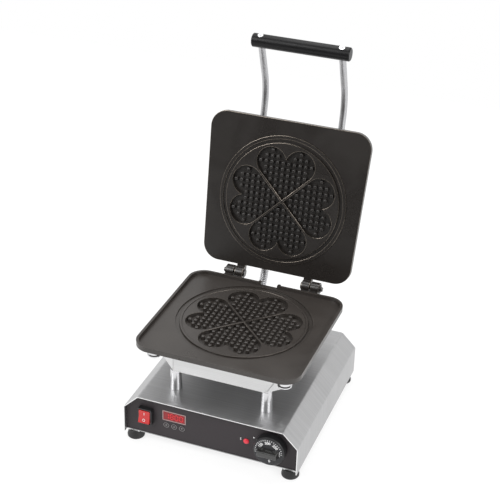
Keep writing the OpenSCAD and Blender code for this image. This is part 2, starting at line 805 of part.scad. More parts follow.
module display_frame() {
    color([0.75, 0.72, 0.7]) front_place(display_x, display_z) difference() {
        translate([0, panel_y, 0]) rotate([90, 0, 0]) linear_extrude(0.6)
            rounded_box(display_w + 2, display_h + 2, 1);
        translate([0, panel_y + 1, 0]) rotate([90, 0, 0]) linear_extrude(3)
            square([display_w - 0.6, display_h - 0.6], center = true);
    }
}

module display_window() {
    w = display_w - 2 * bezel - 2 * fit_gap;
    h = display_h - 2 * bezel - 2 * fit_gap;
    color([0.5, 0.04, 0.05]) front_place(display_x, display_z) {
        translate([0, panel_y, 0]) rotate([90, 0, 0]) linear_extrude(0.4)
            square([display_w - 1.2, display_h - 1.2], center = true);
        translate([0, board_y - 0.2, 0]) rotate([90, 0, 0]) linear_extrude(board_y - 0.2 - panel_y)
            square([w, h], center = true);
    }
}

module timer_board() {
    z0 = key_z - 9;
    color([0.1, 0.35, 0.18]) seat() translate([display_x, board_y, cover_z0 + z0]) {
        translate([-28, 0, 0]) cube([56, board_t, 40]);
        for (x = [-1, 1], z = [4, 36]) translate([x * 25, 0, z]) rotate([90, 0, 0])
            cylinder(d = 4, h = board_y - panel_back);
        for (i = [-1, 0, 1])
            translate([i * key_pitch - contact_w / 2, -contact_h, key_z - z0 - contact_w / 2])
                cube([contact_w, contact_h + 0.1, contact_w]);
        for (i = [-1, 1]) translate([i * 14 - 6, board_t - 0.1, 12]) cube([12, 12, 16]);
    }
}

// Round key: a flat cap in the panel's hole, a collar behind it and a stem to its contact
module key_cap(i) {
    stem_end = board_y - contact_h - key_travel - 0.15;
    color([0.3, 0.28, 0.28]) front_place(key_places[i], key_z) {
        translate([0, panel_back + 0.6, 0]) rotate([90, 0, 0])
            cylinder(d = key_d, h = front_panel_t + 0.6 + key_out);
        translate([0, panel_back + 1.6, 0]) rotate([90, 0, 0]) cylinder(d = key_d + 2.4, h = 1.3);
        translate([0, stem_end, 0]) rotate([90, 0, 0]) cylinder(d = 3, h = stem_end - panel_back);
    }
}

module signal_lamp() {
    color([0.8, 0.05, 0.1]) front_place(lamp_x, lamp_z) translate([0, panel_y, 0]) rotate([90, 0, 0]) {
        cylinder(d = lamp_d, h = 1.2);
        translate([0, 0, 1.2]) scale([1, 1, 0.5]) difference() {
            sphere(d = lamp_d - 1);
            translate([0, 0, -lamp_d]) cube(2 * lamp_d, center = true);
        }
        translate([0, 0, -front_panel_t - 3])
            cylinder(d = lamp_d - 2 - 2 * fit_gap, h = front_panel_t + 3.1);
    }
}

module lamp_holder() {
    color([0.12, 0.12, 0.12]) front_place(lamp_x, lamp_z) translate([0, panel_back, 0]) rotate([-90, 0, 0])
        difference() {
            cylinder(d = lamp_d + 3, h = 16);
            translate([0, 0, -1]) cylinder(d = lamp_d - 2, h = 5);
        }
}

module dial() {
    x = dial_bar_l / 2;
    color([0.1, 0.1, 0.11]) front_place(dial_x, control_z)
        translate([0, panel_y - dial_clear, 0]) rotate([90, 0, 0]) difference() {
            union() {
                cylinder(d = dial_d, h = dial_h - 3);
                translate([0, 0, dial_h - 3]) cylinder(d1 = dial_d, d2 = dial_d - 5, h = 3);
                rotate([90, 0, 0]) translate([0, dial_h, -dial_bar_w / 2]) linear_extrude(dial_bar_w)
                    polygon([[-x, -1], [x, -1], [x - 5, dial_bar_h - 2], [x - 8, dial_bar_h],
                        [-x + 8, dial_bar_h], [-x + 5, dial_bar_h - 2]]);
            }
            translate([0, 0, -1]) cylinder(d = shaft_d, h = dial_h - 1);
            translate([0, 0, -1]) ring(dial_d / 2 - 3, 7, dial_h - 5);
        }
}

module dial_shaft() {
    front = dial_h - 2.2;
    color("silver") front_place(dial_x, control_z)
        translate([0, panel_y - dial_clear - front, 0]) rotate([-90, 0, 0])
            cylinder(d = shaft_d - 0.02, h = front + dial_clear + front_panel_t + 20);
}

module thermostat() {
    body = [40, 26, 36];
    color([0.8, 0.78, 0.72]) front_place(dial_x, control_z) difference() {
        union() {
            translate([-body[0] / 2, thermostat_y, -body[2] / 2]) cube(body);
            for (x = [-1, 1]) translate([x * 14, panel_back + 4.1, 0]) rotate([90, 0, 0])
                cylinder(d = 6, h = 4.1);
            for (x = [-12, 0, 12]) translate([x - 3, thermostat_y + body[1] - 0.1, -8]) cube([6, 9, 1]);
        }
        translate([0, panel_back - 1, 0]) rotate([-90, 0, 0])
            cylinder(d = shaft_d - 0.02 + 2 * run_gap, h = 22);
    }
}

module power_relay() {
    color([0.15, 0.15, 0.16]) seat() translate([-20, 150, cover_z0 + 2 * sheet_t]) {
        cube([40, 30, 36]);
        translate([-6, 8, 0]) cube([52, 14, 3]);
        for (x = [4, 16, 28]) translate([x, -0.9, 30]) cube([7, 1, 4]);
    }
}

module terminal_block() {
    color("white") seat() translate([50, 235, cover_z0 + 2 * sheet_t]) difference() {
        cube([62, 22, 20]);
        for (i = [0 : 4]) translate([8 + i * 11.5, 11, 12]) cylinder(d = 6, h = 10);
        for (i = [0 : 4]) translate([8 + i * 11.5, -1, 7]) rotate([-90, 0, 0]) cylinder(d = 4, h = 24);
    }
}

module cable_gland() {
    y0 = base_d - panel_recess;
    color([0.1, 0.1, 0.1]) seat() translate([gland_x, y0, gland_z]) rotate([-90, 0, 0]) difference() {
        union() {
            translate([0, 0, -14]) cylinder(d = gland_thread_d, h = 15);
            cylinder(d = gland_hex_d, h = 6, $fn = 6);
            translate([0, 0, 6]) cylinder(d = gland_cap_d, h = 8);
            translate([0, 0, 14]) cylinder(d1 = gland_cap_d, d2 = cord_bore_d + 4, h = 5);
        }
        translate([0, 0, -15]) cylinder(d = cord_bore_d, h = 40);
    }
}

module gland_nut() {
    y0 = base_d - panel_recess - sheet_t;
    color([0.1, 0.1, 0.1]) seat() translate([gland_x, y0, gland_z]) rotate([90, 0, 0]) difference() {
        cylinder(d = gland_hex_d, h = 5, $fn = 6);
        translate([0, 0, -1]) cylinder(d = gland_thread_d + 0.1, h = 7);
    }
}

// ---------- wiring conduit ----------

module conduit() {
    pts = [for (i = [0 : conduit_rings]) let (
            t = i / conduit_rings,
            p = conduit_at(t),
            ahead = conduit_at(min(1, t + 0.01)) - conduit_at(max(0, t - 0.01)),
            side = [-ahead[1], ahead[0]] / norm(ahead))
        for (j = [0 : conduit_sides - 1]) let (a = 360 * j / conduit_sides)
            [conduit_x + conduit_d / 2 * cos(a), p[0] + conduit_d / 2 * sin(a) * side[0],
                p[1] + conduit_d / 2 * sin(a) * side[1]]];
    walls = [for (i = [0 : conduit_rings - 1], j = [0 : conduit_sides - 1]) let (
            a = i * conduit_sides + j,
            b = i * conduit_sides + (j + 1) % conduit_sides)
        [a, a + conduit_sides, b + conduit_sides, b]];
    first = [for (j = [0 : conduit_sides - 1]) j];
    last = [for (j = [conduit_sides - 1 : -1 : 0]) conduit_rings * conduit_sides + j];
    color([0.8, 0.8, 0.8]) seat() polyhedron(pts, concat(walls, [first, last]));
}

// Hexagon collar and ferrule that take one end of the conduit, standing on z = 0
module conduit_gland() {
    difference() {
        union() {
            cylinder(d = conduit_d + 10, h = 5, $fn = 6);
            cylinder(d = conduit_d + 5, h = gland_h);
        }
        translate([0, 0, -1]) cylinder(d = conduit_d - 4, h = gland_h + 2);
    }
}

module conduit_gland_base() {
    color("silver") seat() translate([conduit_x, conduit_y, deck_z]) conduit_gland();
}

module conduit_gland_lid() {
    color("silver") lid_seat() translate([conduit_x, lid_gland_s, -lid_gland_o]) rotate([90, 0, 0])
        conduit_gland();
}

// ---------- lid ----------

module lid_place() {
    lid_seat() translate([0, lid_pattern_s, 0]) children();
}

module upper_housing() {
    color("gainsboro") difference() {
        lid_place() translate([0, 0, -housing_back]) housing_box();
        lid_seat() translate([conduit_x, lid_gland_s + 5, -lid_gland_o]) rotate([90, 0, 0])
            cylinder(d = conduit_d - 4, h = 10);
        lid_seat() for (side = [-1, 1], s = clamp_places, dx = [-clamp_screw_x, clamp_screw_x])
            translate([side * rod_span / 2 + dx, s, -housing_back - 1])
                cylinder(d = clamp_screw_d + 2 * screw_gap, h = housing_t + 2);
    }
}

module upper_insulation() {
    color([0.85, 0.82, 0.7]) lid_place() translate([0, 0, -housing_back + housing_t]) wool_slab();
}

module upper_element() {
    color([0.35, 0.33, 0.32]) lid_place() rotate([0, 0, 180])
        translate([0, 0, -lid_back - element_depth]) element_loop();
}

module upper_clamp_plate() {
    color("gray") lid_place() rotate([0, 0, 180])
        translate([0, 0, -lid_back - clamp_depth - clamp_plate_t]) clamp_plate();
}

module upper_screws() {
    color("silver") lid_place() translate([0, 0, -housing_back]) plate_screws();
}

// One rod: straight along the housing, bent forward, straight into the grip
module handle_rod(side) {
    color([0.7, 0.7, 0.72]) lid_seat() translate([side * rod_span / 2, 0, 0]) difference() {
        union() {
            translate([0, rod_start, -rod_o]) rotate([-90, 0, 0])
                cylinder(d = rod_d, h = rod_bend_start - rod_start + rod_lap);
            translate([0, rod_bend_start, -rod_o + rod_bend_r]) rotate([0, 90, 0]) {
                rotate_extrude(angle = rod_bend) translate([rod_bend_r, 0])
                    circle(d = rod_d + 2 * run_gap);
                rotate([0, 0, rod_bend]) translate([rod_bend_r, -rod_lap, 0]) rotate([-90, 0, 0])
                    cylinder(d = rod_d, h = rod_tip_l + 2 * rod_lap);
            }
        }
        translate([0, grip_s, -grip_o]) rotate([rod_bend - 90, 0, 0]) translate([0, 0, -18])
            cylinder(d = grip_screw_d, h = 30);
    }
}

// Saddle that holds a rod on the upper housing
module rod_clamps() {
    color("silver") lid_seat() for (side = [-1, 1], s = clamp_places)
        translate([side * rod_span / 2, s, -housing_back]) difference() {
            translate([-clamp_w / 2, -clamp_l / 2, -clamp_h]) cube([clamp_w, clamp_l, clamp_h]);
            translate([0, 0, -rod_d / 2 - fit_gap]) rotate([90, 0, 0])
                cylinder(d = rod_d + 0.2, h = clamp_l + 2, center = true);
            for (dx = [-clamp_screw_x, clamp_screw_x]) translate([dx, 0, -clamp_h - 1])
                cylinder(d = clamp_screw_d + 2 * screw_gap, h = clamp_h + 2);
        }
}

module clamp_screws() {
    color("silver") lid_seat()
        for (side = [-1, 1], s = clamp_places, dx = [-clamp_screw_x, clamp_screw_x])
            translate([side * rod_span / 2 + dx, s, -housing_back - clamp_h])
                screw(clamp_screw_d, clamp_h + housing_t, clamp_screw_d + 3.5, 2.5);
}

module grip_place() {
    lid_seat() translate([0, grip_s, -grip_o]) children();
}

module grip() {
    edge = 1.5;
    color([0.07, 0.07, 0.07]) grip_place() difference() {
        rotate([0, 90, 0]) rotate_extrude() polygon([[0, -grip_l / 2], [grip_d / 2 - edge, -grip_l / 2],
            [grip_d / 2, -grip_l / 2 + edge], [grip_d / 2, grip_l / 2 - edge],
            [grip_d / 2 - edge, grip_l / 2], [0, grip_l / 2]]);
        for (side = [-1, 1]) translate([side * rod_span / 2, 0, 0]) rotate([rod_bend - 90, 0, 0]) {
            translate([0, 0, -grip_d]) cylinder(d = rod_d + 0.1, h = grip_d + 2.2);
            cylinder(d = grip_screw_d + 2 * screw_gap, h = grip_d);
            translate([0, 0, grip_d / 2 - 4.5]) cylinder(d = grip_screw_d + 5, h = grip_d);
        }
    }
}

module grip_screws() {
    head_h = 5;
    color("silver") grip_place() for (side = [-1, 1]) translate([side * rod_span / 2, 0, 0])
        rotate([rod_bend - 90, 0, 0]) translate([0, 0, grip_d / 2 + 0.5]) {
            socket_head(grip_screw_d + 4, head_h, 5);
            translate([0, 0, -head_h - 20]) cylinder(d = grip_screw_d - 0.1, h = 20.1);
        }
}

base_shell();
front_panel();
rear_panel();
bottom_cover();
foot(foot_places[0]);  // foot_front_left
foot(foot_places[1]);  // foot_front_right
foot(foot_places[2]);  // foot_rear_left
foot(foot_places[3]);  // foot_rear_right
foot_screws();
leg(leg_places[0]);  // leg_front_left
leg(leg_places[1]);  // leg_front_right
leg(leg_places[2]);  // leg_rear_left
leg(leg_places[3]);  // leg_rear_right
leg_bolts();
lower_housing();
lower_insulation();
lower_element();
lower_clamp_plate();
lower_screws();
thermostat_bulb();
lower_plate();
baking_disc();
hinge_lugs();
plate_foot(-1);  // plate_foot_left
plate_foot(1);  // plate_foot_right
hinge_pin(-1);  // hinge_pin_left
hinge_pin(1);  // hinge_pin_right
hinge_clips();
switch_body();
switch_rocker();
display_frame();
display_window();
timer_board();
key_cap(0);  // key_left
key_cap(1);  // key_middle
key_cap(2);  // key_right
signal_lamp();
lamp_holder();
dial();
dial_shaft();
thermostat();
power_relay();
terminal_block();
cable_gland();
gland_nut();
conduit();
conduit_gland_base();
conduit_gland_lid();
upper_plate();
upper_housing();
upper_insulation();
upper_element();
upper_clamp_plate();
upper_screws();
handle_rod(-1);  // handle_rod_left
handle_rod(1);  // handle_rod_right
rod_clamps();
clamp_screws();
grip();
grip_screws();
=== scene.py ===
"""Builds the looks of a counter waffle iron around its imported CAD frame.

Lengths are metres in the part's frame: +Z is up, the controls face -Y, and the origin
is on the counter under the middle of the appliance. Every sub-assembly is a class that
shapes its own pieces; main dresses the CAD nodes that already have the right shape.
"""

import logging
import math
from dataclasses import dataclass
from enum import Enum
from functools import cache
from typing import Callable, Iterable, Sequence

import bmesh
import bpy
from mathutils import Matrix, Vector


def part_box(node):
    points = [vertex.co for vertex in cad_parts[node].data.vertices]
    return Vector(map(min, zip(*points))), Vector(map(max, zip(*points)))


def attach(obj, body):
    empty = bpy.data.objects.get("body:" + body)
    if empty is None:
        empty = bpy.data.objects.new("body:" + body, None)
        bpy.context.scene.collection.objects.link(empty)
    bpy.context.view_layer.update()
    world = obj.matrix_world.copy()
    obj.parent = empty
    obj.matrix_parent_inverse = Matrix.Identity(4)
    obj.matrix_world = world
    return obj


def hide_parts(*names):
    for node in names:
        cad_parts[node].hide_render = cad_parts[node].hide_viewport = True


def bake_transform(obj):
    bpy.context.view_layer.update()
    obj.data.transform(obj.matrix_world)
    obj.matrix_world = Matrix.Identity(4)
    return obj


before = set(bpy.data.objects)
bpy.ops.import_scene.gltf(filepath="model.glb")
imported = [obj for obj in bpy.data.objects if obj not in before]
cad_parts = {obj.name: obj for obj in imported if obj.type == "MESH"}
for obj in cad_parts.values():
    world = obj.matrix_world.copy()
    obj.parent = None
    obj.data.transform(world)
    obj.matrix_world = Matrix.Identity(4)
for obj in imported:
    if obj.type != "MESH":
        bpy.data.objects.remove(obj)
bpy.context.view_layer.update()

LOG = logging.getLogger("waffle_iron")

Colour = tuple[float, float, float]

# Places that the CAD gives, measured from the front edge of the base
ORIGIN_BACK = 0.2082
LID_LEAN = math.radians(12.7)
HINGE = Vector((0.0, 0.2988 - ORIGIN_BACK, 0.1882))
LID_FACE_OFF = 0.0016
PATTERN = Vector((0.0, 0.154 - ORIGIN_BACK, 0.0))
PANEL_Y = 0.008 - ORIGIN_BACK
LID_FRAME = (
    Matrix.Translation(HINGE)
    @ Matrix.Rotation(math.pi / 2 - LID_LEAN, 4, "X")
    @ Matrix.Translation((0.0, 0.0, -LID_FACE_OFF))
)
# Turns a drawing in the XY plane so that it faces the front, -Y, reading left to right
FACING_FRONT = Matrix.Rotation(math.pi / 2, 4, "X")

# Copies of CAD meshes: vertices closer than this are one, faces flatter than this are one
WELD_DISTANCE = 2e-6
FLAT_ANGLE = math.radians(1.0)
# Letters: how far strokes are thickened, as a share of the letter height
STROKE_WEIGHT = 0.035
# Depth of the finest bump
BUMP_DEPTH = 0.0004
COAT_ROUGHNESS = 0.15
# The Mix node has sockets of one name for each data type, so colours go by number
MIX_FIRST_COLOUR, MIX_SECOND_COLOUR, MIX_COLOUR_OUT = 6, 7, 2


# ---------- finishes ----------


class Grain(Enum):
    """Which way the rubbing or turning marks of a metal run, as noise scale per axis."""

    ACROSS = (7.0, 620.0, 7.0)
    LEVEL = (7.0, 7.0, 620.0)
    TURNED_UPRIGHT = (3.0, 3.0, 1400.0)
    TURNED_SIDEWAYS = (1400.0, 3.0, 3.0)
    NONE = (90.0, 90.0, 90.0)


class Wiring:
    """Adds and links nodes in one node tree."""

    def __init__(self, tree: bpy.types.NodeTree) -> None:
        """Wraps a tree.

        Args:
            tree: The node tree to fill.
        """
        self.tree = tree

    def add(self, kind: str, inputs: dict | None = None, **settings: object) -> bpy.types.Node:
        """Adds a node, sets it up and wires what feeds it.

        Args:
            kind: The node's type name.
            inputs: Input name or number to a value, or to the socket that feeds it.
            **settings: The node's own properties.

        Returns:
            The new node.
        """
        node = self.tree.nodes.new(kind)
        for name, value in settings.items():
            setattr(node, name, value)
        return self.feed(node, inputs or {})

    def feed(self, node: bpy.types.Node, inputs: dict) -> bpy.types.Node:
        """Sets or wires a node's inputs.

        Args:
            node: The node.
            inputs: Input name or number to a value, or to the socket that feeds it.

        Returns:
            The same node.
        """
        for name, value in inputs.items():
            if isinstance(value, bpy.types.NodeSocket):
                self.tree.links.new(value, node.inputs[name])
            else:
                node.inputs[name].default_value = value
        return node

    def group(self, tree: bpy.types.NodeTree, inputs: dict) -> bpy.types.Node:
        """Places a shader group.

        Args:
            tree: The group's tree.
            inputs: Input name to value or feeding socket.

        Returns:
            The group node.
        """
        return self.feed(self.add("ShaderNodeGroup", node_tree=tree), inputs)

    def combine(self, operation: str, first: object, second: object) -> bpy.types.NodeSocket:
        """Adds a calculation with two values.

        Args:
            operation: What is done with them.
            first: Value or feeding socket.
            second: Value or feeding socket.

        Returns:
            The socket with the result.
        """
        node = self.add("ShaderNodeMath", {0: first, 1: second}, operation=operation)
        return node.outputs["Value"]

    def remap(
        self,
        value: bpy.types.NodeSocket,
        before: tuple[float, float],
        after: tuple[object, object] = (0.0, 1.0),
        eased: bool = False,
    ) -> bpy.types.NodeSocket:
        """Stretches one range of values onto another.

        Args:
            value: The socket with the values.
            before: Ends of the range that is taken.
            after: Ends of the range that is given, as values or feeding sockets.
            eased: True when the change starts and stops gently.

        Returns:
            The socket with the result.
        """
        names = ("From Min", "From Max", "To Min", "To Max")
        node = self.add(
            "ShaderNodeMapRange",
            {"Value": value, **dict(zip(names, (*before, *after)))},
            interpolation_type="SMOOTHSTEP" if eased else "LINEAR",
        )
        return node.outputs["Result"]

    def noise(self, place: bpy.types.NodeSocket, **amounts: object) -> bpy.types.NodeSocket:
        """Adds a noise.

        Args:
            place: The socket with the coordinates.
            **amounts: The noise's other inputs.

        Returns:
            The socket with its value.
        """
        return self.add("ShaderNodeTexNoise", {"Vector": place, **amounts}).outputs["Fac"]


def open_effect(name: str, inputs: dict[str, object]) -> tuple[Wiring, bpy.types.NodeOutputs]:
    """Starts a shader group with its sockets.

    Args:
        name: The group's name.
        inputs: Socket name to its default value.

    Returns:
        The wiring helper and the sockets that the group takes in.
    """
    tree = bpy.data.node_groups.new(name, "ShaderNodeTree")
    kinds = {1: "NodeSocketFloat", 3: "NodeSocketVector", 4: "NodeSocketColor"}
    for label, value in inputs.items():
        kind = kinds[1 if isinstance(value, float) else len(value)]
        socket = tree.interface.new_socket(label, in_out="INPUT", socket_type=kind)
        socket.default_value = value
    for label, parts in (("Colour", 4), ("Roughness", 1), ("Height", 1)):
        tree.interface.new_socket(label, in_out="OUTPUT", socket_type=kinds[parts])
    wires = Wiring(tree)
    return wires, wires.add("NodeGroupInput").outputs


@cache
def rubbed_grain() -> bpy.types.NodeTree:
    """Marks drawn out along one direction, with a soft cloud over them.

    Returns:
        The group's tree, the same one each time.
    """
    defaults = {"Stretch": (1.0, 1.0, 1.0), "Lean": 0.0, "Colour": (0.6, 0.6, 0.6, 1.0)}
    defaults |= {"Contrast": 0.1, "Smooth": 0.2, "Rough": 0.4}
    wires, given = open_effect("rubbed_grain", defaults)
    place = wires.add("ShaderNodeTexCoord").outputs["Object"]
    turned = wires.add(
        "ShaderNodeVectorRotate",
        {"Vector": place, "Angle": given["Lean"]},
        rotation_type="X_AXIS",
    ).outputs["Vector"]
    drawn = wires.add(
        "ShaderNodeVectorMath", {0: turned, 1: given["Stretch"]}, operation="MULTIPLY"
    ).outputs["Vector"]
    marks = wires.noise(drawn, Scale=1.0, Detail=9.0, Roughness=0.62)
    cloud = wires.noise(place, Scale=9.0, Detail=3.0, Distortion=0.4)
    both = wires.combine("ADD", marks, cloud)
    darkest = wires.combine("SUBTRACT", 1.0, given["Contrast"])
    tinted = wires.add(
        "ShaderNodeVectorMath",
        {0: given["Colour"], "Scale": wires.remap(marks, (0.3, 0.7), (darkest, 1.0))},
        operation="SCALE",
    ).outputs["Vector"]
    rough = wires.remap(both, (0.7, 1.3), (given["Smooth"], given["Rough"]))
    wires.add("NodeGroupOutput", {"Colour": tinted, "Roughness": rough, "Height": marks})
    return wires.tree


@cache
def fine_grit() -> bpy.types.NodeTree:
    """Even grit of a cast, moulded or sprayed surface, with paler flecks and worn haze.

    Returns:
        The group's tree, the same one each time.
    """
    defaults = {"Colour": (0.05, 0.05, 0.05, 1.0), "Fleck": (0.1, 0.1, 0.1, 1.0)}
    defaults |= {"Size": 700.0, "Haze": 0.15, "Smooth": 0.3, "Rough": 0.5}
    wires, given = open_effect("fine_grit", defaults)
    place = wires.add("ShaderNodeTexCoord").outputs["Object"]
    grit = wires.noise(place, Scale=given["Size"], Detail=4.0, Roughness=0.6)
    haze = wires.noise(place, Scale=14.0, Detail=5.0, Distortion=0.8)
    flecks = wires.remap(grit, (0.56, 0.72), eased=True)
    veil = wires.remap(haze, (0.4, 0.75), (0.0, given["Haze"]))
    mixed = wires.add(
        "ShaderNodeMix",
        {
            0: wires.combine("MAXIMUM", flecks, veil),
            MIX_FIRST_COLOUR: given["Colour"],
            MIX_SECOND_COLOUR: given["Fleck"],
        },
        data_type="RGBA",
    ).outputs[MIX_COLOUR_OUT]
    rough = wires.remap(haze, (0.3, 0.7), (given["Smooth"], given["Rough"]))
    wires.add("NodeGroupOutput", {"Colour": mixed, "Roughness": rough, "Height": grit})
    return wires.tree


def fresh_wiring(owner: bpy.types.Material | bpy.types.World) -> Wiring:
    """Empties the node tree of a new material or world.

    Args:
        owner: The material or world.

    Returns:
        Wiring of its tree.
    """
    owner.use_nodes = True
    owner.node_tree.nodes.clear()
    return Wiring(owner.node_tree)


def in_scene(name: str, data: bpy.types.ID) -> bpy.types.Object:
    """Puts a new object in the scene.

    Args:
        name: The object's name.
        data: Its mesh, camera or light.

    Returns:
        The object.
    """
    made = bpy.data.objects.new(name, data)
    bpy.context.scene.collection.objects.link(made)
    return made


@dataclass(frozen=True)
class Finish:
    """A surface finish that becomes one material.

    Attributes:
        name: The material's name.
        colour: Base colour, linear.
        smooth: Lowest roughness over the surface.
        rough: Highest roughness over the surface.
        relief: Strength of the fine bump.
    """

    name: str
    colour: Colour
    smooth: float = 0.3
    rough: float = 0.5
    relief: float = 0.1

    def material(self) -> bpy.types.Material:
        """The finish's material, made on first use."""
        made = bpy.data.materials.get(self.name)
        if made:
            return made
        made = bpy.data.materials.new(self.name)
        made.diffuse_color = (*self.colour, 1.0)
        wires = fresh_wiring(made)
        shader = wires.add("ShaderNodeBsdfPrincipled")
        wires.add("ShaderNodeOutputMaterial", {"Surface": shader.outputs["BSDF"]})
        looks = self.surface(wires, shader).outputs
        bump = wires.add(
            "ShaderNodeBump",
            {"Height": looks["Height"], "Strength": self.relief, "Distance": BUMP_DEPTH},
        )
        wires.feed(
            shader,
            {
                "Base Color": looks["Colour"],
                "Roughness": looks["Roughness"],
                "Normal": bump.outputs["Normal"],
            },
        )
        return made

    def varied(self, wires: Wiring, effect: bpy.types.NodeTree, inputs: dict) -> bpy.types.Node:
        """Places an effect with this finish's colour and roughness.

        Args:
            wires: Wiring of the material's tree.
            effect: The effect's group tree.
            inputs: The effect's other inputs.

        Returns:
            The effect's node.
        """
        shared = {"Colour": (*self.colour, 1.0), "Smooth": self.smooth, "Rough": self.rough}
        return wires.group(effect, {**shared, **inputs})

    def surface(self, wires: Wiring, shader: bpy.types.Node) -> bpy.types.Node:
        """Sets the shader's plain values and makes the node that varies over the surface.

        Args:
            wires: Wiring of the material's tree.
            shader: The Principled node.

        Returns:
            A node with Colour, Roughness and Height outputs.
        """
        raise NotImplementedError


@dataclass(frozen=True)
class Metal(Finish):
    """Bare metal with rubbing or turning marks.

    Attributes:
        grain: Which way the marks run.
        contrast: How much darker the marks are.
        lean: Turn about X that brings the marks into line with a leaning piece.
    """

    grain: Grain = Grain.ACROSS
    contrast: float = 0.12
    lean: float = 0.0

    def surface(self, wires: Wiring, shader: bpy.types.Node) -> bpy.types.Node:
        """Metal with drawn-out marks in colour, roughness and relief."""
        wires.feed(shader, {"Metallic": 1.0})
        grain = {"Stretch": self.grain.value, "Lean": self.lean, "Contrast": self.contrast}
        return self.varied(wires, rubbed_grain(), grain)


@dataclass(frozen=True)
class Gritty(Finish):
    """Cast, moulded, sprayed or rubber surface with fine grit.

    Attributes:
        fleck: Colour of the paler flecks and of the haze.
        size: Grains per metre.
        haze: How far the haze covers the colour.
        gloss: Specular level.
        coat: Weight of a clear coat.
    """

    fleck: Colour = (0.1, 0.1, 0.1)
    size: float = 700.0
    haze: float = 0.15
    gloss: float = 0.5
    coat: float = 0.0

    def surface(self, wires: Wiring, shader: bpy.types.Node) -> bpy.types.Node:
        """Dull or satin surface with grit in colour, roughness and relief."""
        wires.feed(
            shader,
            {
                "Specular IOR Level": self.gloss,
                "Coat Weight": self.coat,
                "Coat Roughness": COAT_ROUGHNESS,
            },
        )
        grit = {"Fleck": (*self.fleck, 1.0), "Size": self.size, "Haze": self.haze}
        return self.varied(wires, fine_grit(), grit)


@dataclass(frozen=True)
class Lit(Gritty):
    """Coloured plastic with a lamp behind it.

    Attributes:
        glow: Strength of the light that comes through.
        glow_colour: Colour of that light.
    """

    glow: float = 0.5
    glow_colour: Colour = (1.0, 0.05, 0.03)

    def surface(self, wires: Wiring, shader: bpy.types.Node) -> bpy.types.Node:
        """Gritty surface that also gives out light."""
        light = {"Emission Color": (*self.glow_colour, 1.0), "Emission Strength": self.glow}
        wires.feed(shader, light)
        return super().surface(wires, shader)


DECK_STEEL = Metal("deck_steel", (0.56, 0.56, 0.565), 0.36, 0.5, 0.4, Grain.ACROSS, 0.22)
PANEL_STEEL = Metal("rear_panel_steel", (0.6, 0.6, 0.6), 0.34, 0.48, 0.25, Grain.LEVEL, 0.16)
HOUSING_STEEL = Metal("housing_steel", (0.74, 0.74, 0.74), 0.34, 0.46, 0.2, Grain.LEVEL, 0.12)
LID_HOUSING_STEEL = Metal(
    "lid_housing_steel", (0.74, 0.74, 0.74), 0.34, 0.46, 0.2, Grain.LEVEL, 0.12, LID_LEAN
)
POLISHED_LEG = Metal(
    "polished_leg", (0.72, 0.72, 0.73), 0.1, 0.24, 0.06, Grain.TURNED_UPRIGHT, 0.1
)
TURNED_CHROME = Metal(
    "turned_chrome", (0.74, 0.74, 0.75), 0.06, 0.15, 0.03, Grain.TURNED_UPRIGHT, 0.06
)
GROUND_ROD = Metal("ground_rod", (0.55, 0.55, 0.56), 0.3, 0.42, 0.05, Grain.TURNED_UPRIGHT, 0.12)
PIN_STEEL = Metal("pin_steel", (0.13, 0.125, 0.12), 0.26, 0.4, 0.05, Grain.TURNED_SIDEWAYS, 0.15)
ZINC = Metal("zinc_plate", (0.56, 0.56, 0.57), 0.24, 0.42, 0.08, Grain.NONE, 0.18)
HOSE_METAL = Metal("hose_metal", (0.62, 0.62, 0.63), 0.22, 0.36, 0.08, Grain.NONE, 0.14)
TINTED_SHEATH = Metal("tinted_sheath", (0.22, 0.18, 0.15), 0.35, 0.55, 0.15, Grain.NONE, 0.4)
COPPER = Metal("bulb_copper", (0.72, 0.38, 0.24), 0.3, 0.45, 0.1, Grain.TURNED_SIDEWAYS, 0.2)
NON_STICK = Gritty(
    "non_stick", (0.0125, 0.0100, 0.0084), 0.26, 0.34, 0.14, (0.024, 0.0195, 0.0165), 900.0, 0.25,
    0.7
)
BAKING_NON_STICK = Gritty(
    "baking_non_stick", (0.032, 0.027, 0.0235), 0.27, 0.36, 0.16, (0.056, 0.048, 0.042), 900.0,
    0.3, 0.65
)
# Paler metals on the plates' rounded edges: painted highlights, brighter on the upper plate than
# on the lower one
UPPER_EDGE_HIGHLIGHT = Metal("upper_edge_highlight", (0.3, 0.26, 0.22), 0.2, 0.34, 0.1, Grain.NONE, 0.35)
LOWER_EDGE_HIGHLIGHT = Metal("lower_edge_highlight", (0.11, 0.098, 0.088), 0.22, 0.36, 0.1, Grain.NONE, 0.35)
FRONT_FOIL = Gritty(
    "front_foil", (0.037, 0.031, 0.034), 0.42, 0.52, 0.12, (0.046, 0.039, 0.042), 1500.0, 0.2, 0.3
)
FOOT_RUBBER = Gritty(
    "foot_rubber", (0.014, 0.014, 0.014), 0.42, 0.6, 0.2, (0.03, 0.03, 0.03), 800.0, 0.3, 0.5
)
BLACK_PLASTIC = Gritty(
    "black_plastic", (0.012, 0.012, 0.013), 0.3, 0.42, 0.1, (0.02, 0.02, 0.021), 900.0, 0.15, 0.5
)
DIAL_PLASTIC = Gritty(
    "dial_plastic", (0.045, 0.046, 0.058), 0.34, 0.46, 0.08, (0.06, 0.061, 0.074), 1200.0, 0.15,
    0.4
)
# Near-white metal on the cover's cut sheet ends: a painted highlight
CUT_END_HIGHLIGHT = Metal("cut_end_highlight", (0.9, 0.9, 0.9), 0.3, 0.4, 0.05, Grain.NONE, 0.05)
BAR_PLASTIC = Gritty(
    "bar_plastic", (0.014, 0.014, 0.0135), 0.16, 0.26, 0.05, (0.022, 0.022, 0.021), 900.0, 0.15,
    0.7, 0.5
)
GRIP_PLASTIC = Gritty(
    "grip_plastic", (0.008, 0.008, 0.0085), 0.26, 0.36, 0.06, (0.013, 0.013, 0.014), 900.0, 0.15,
    0.2
)
KEY_CAP = Gritty(
    "key_cap", (0.04, 0.034, 0.037), 0.38, 0.48, 0.1, (0.05, 0.043, 0.046), 1500.0, 0.2, 0.3
)
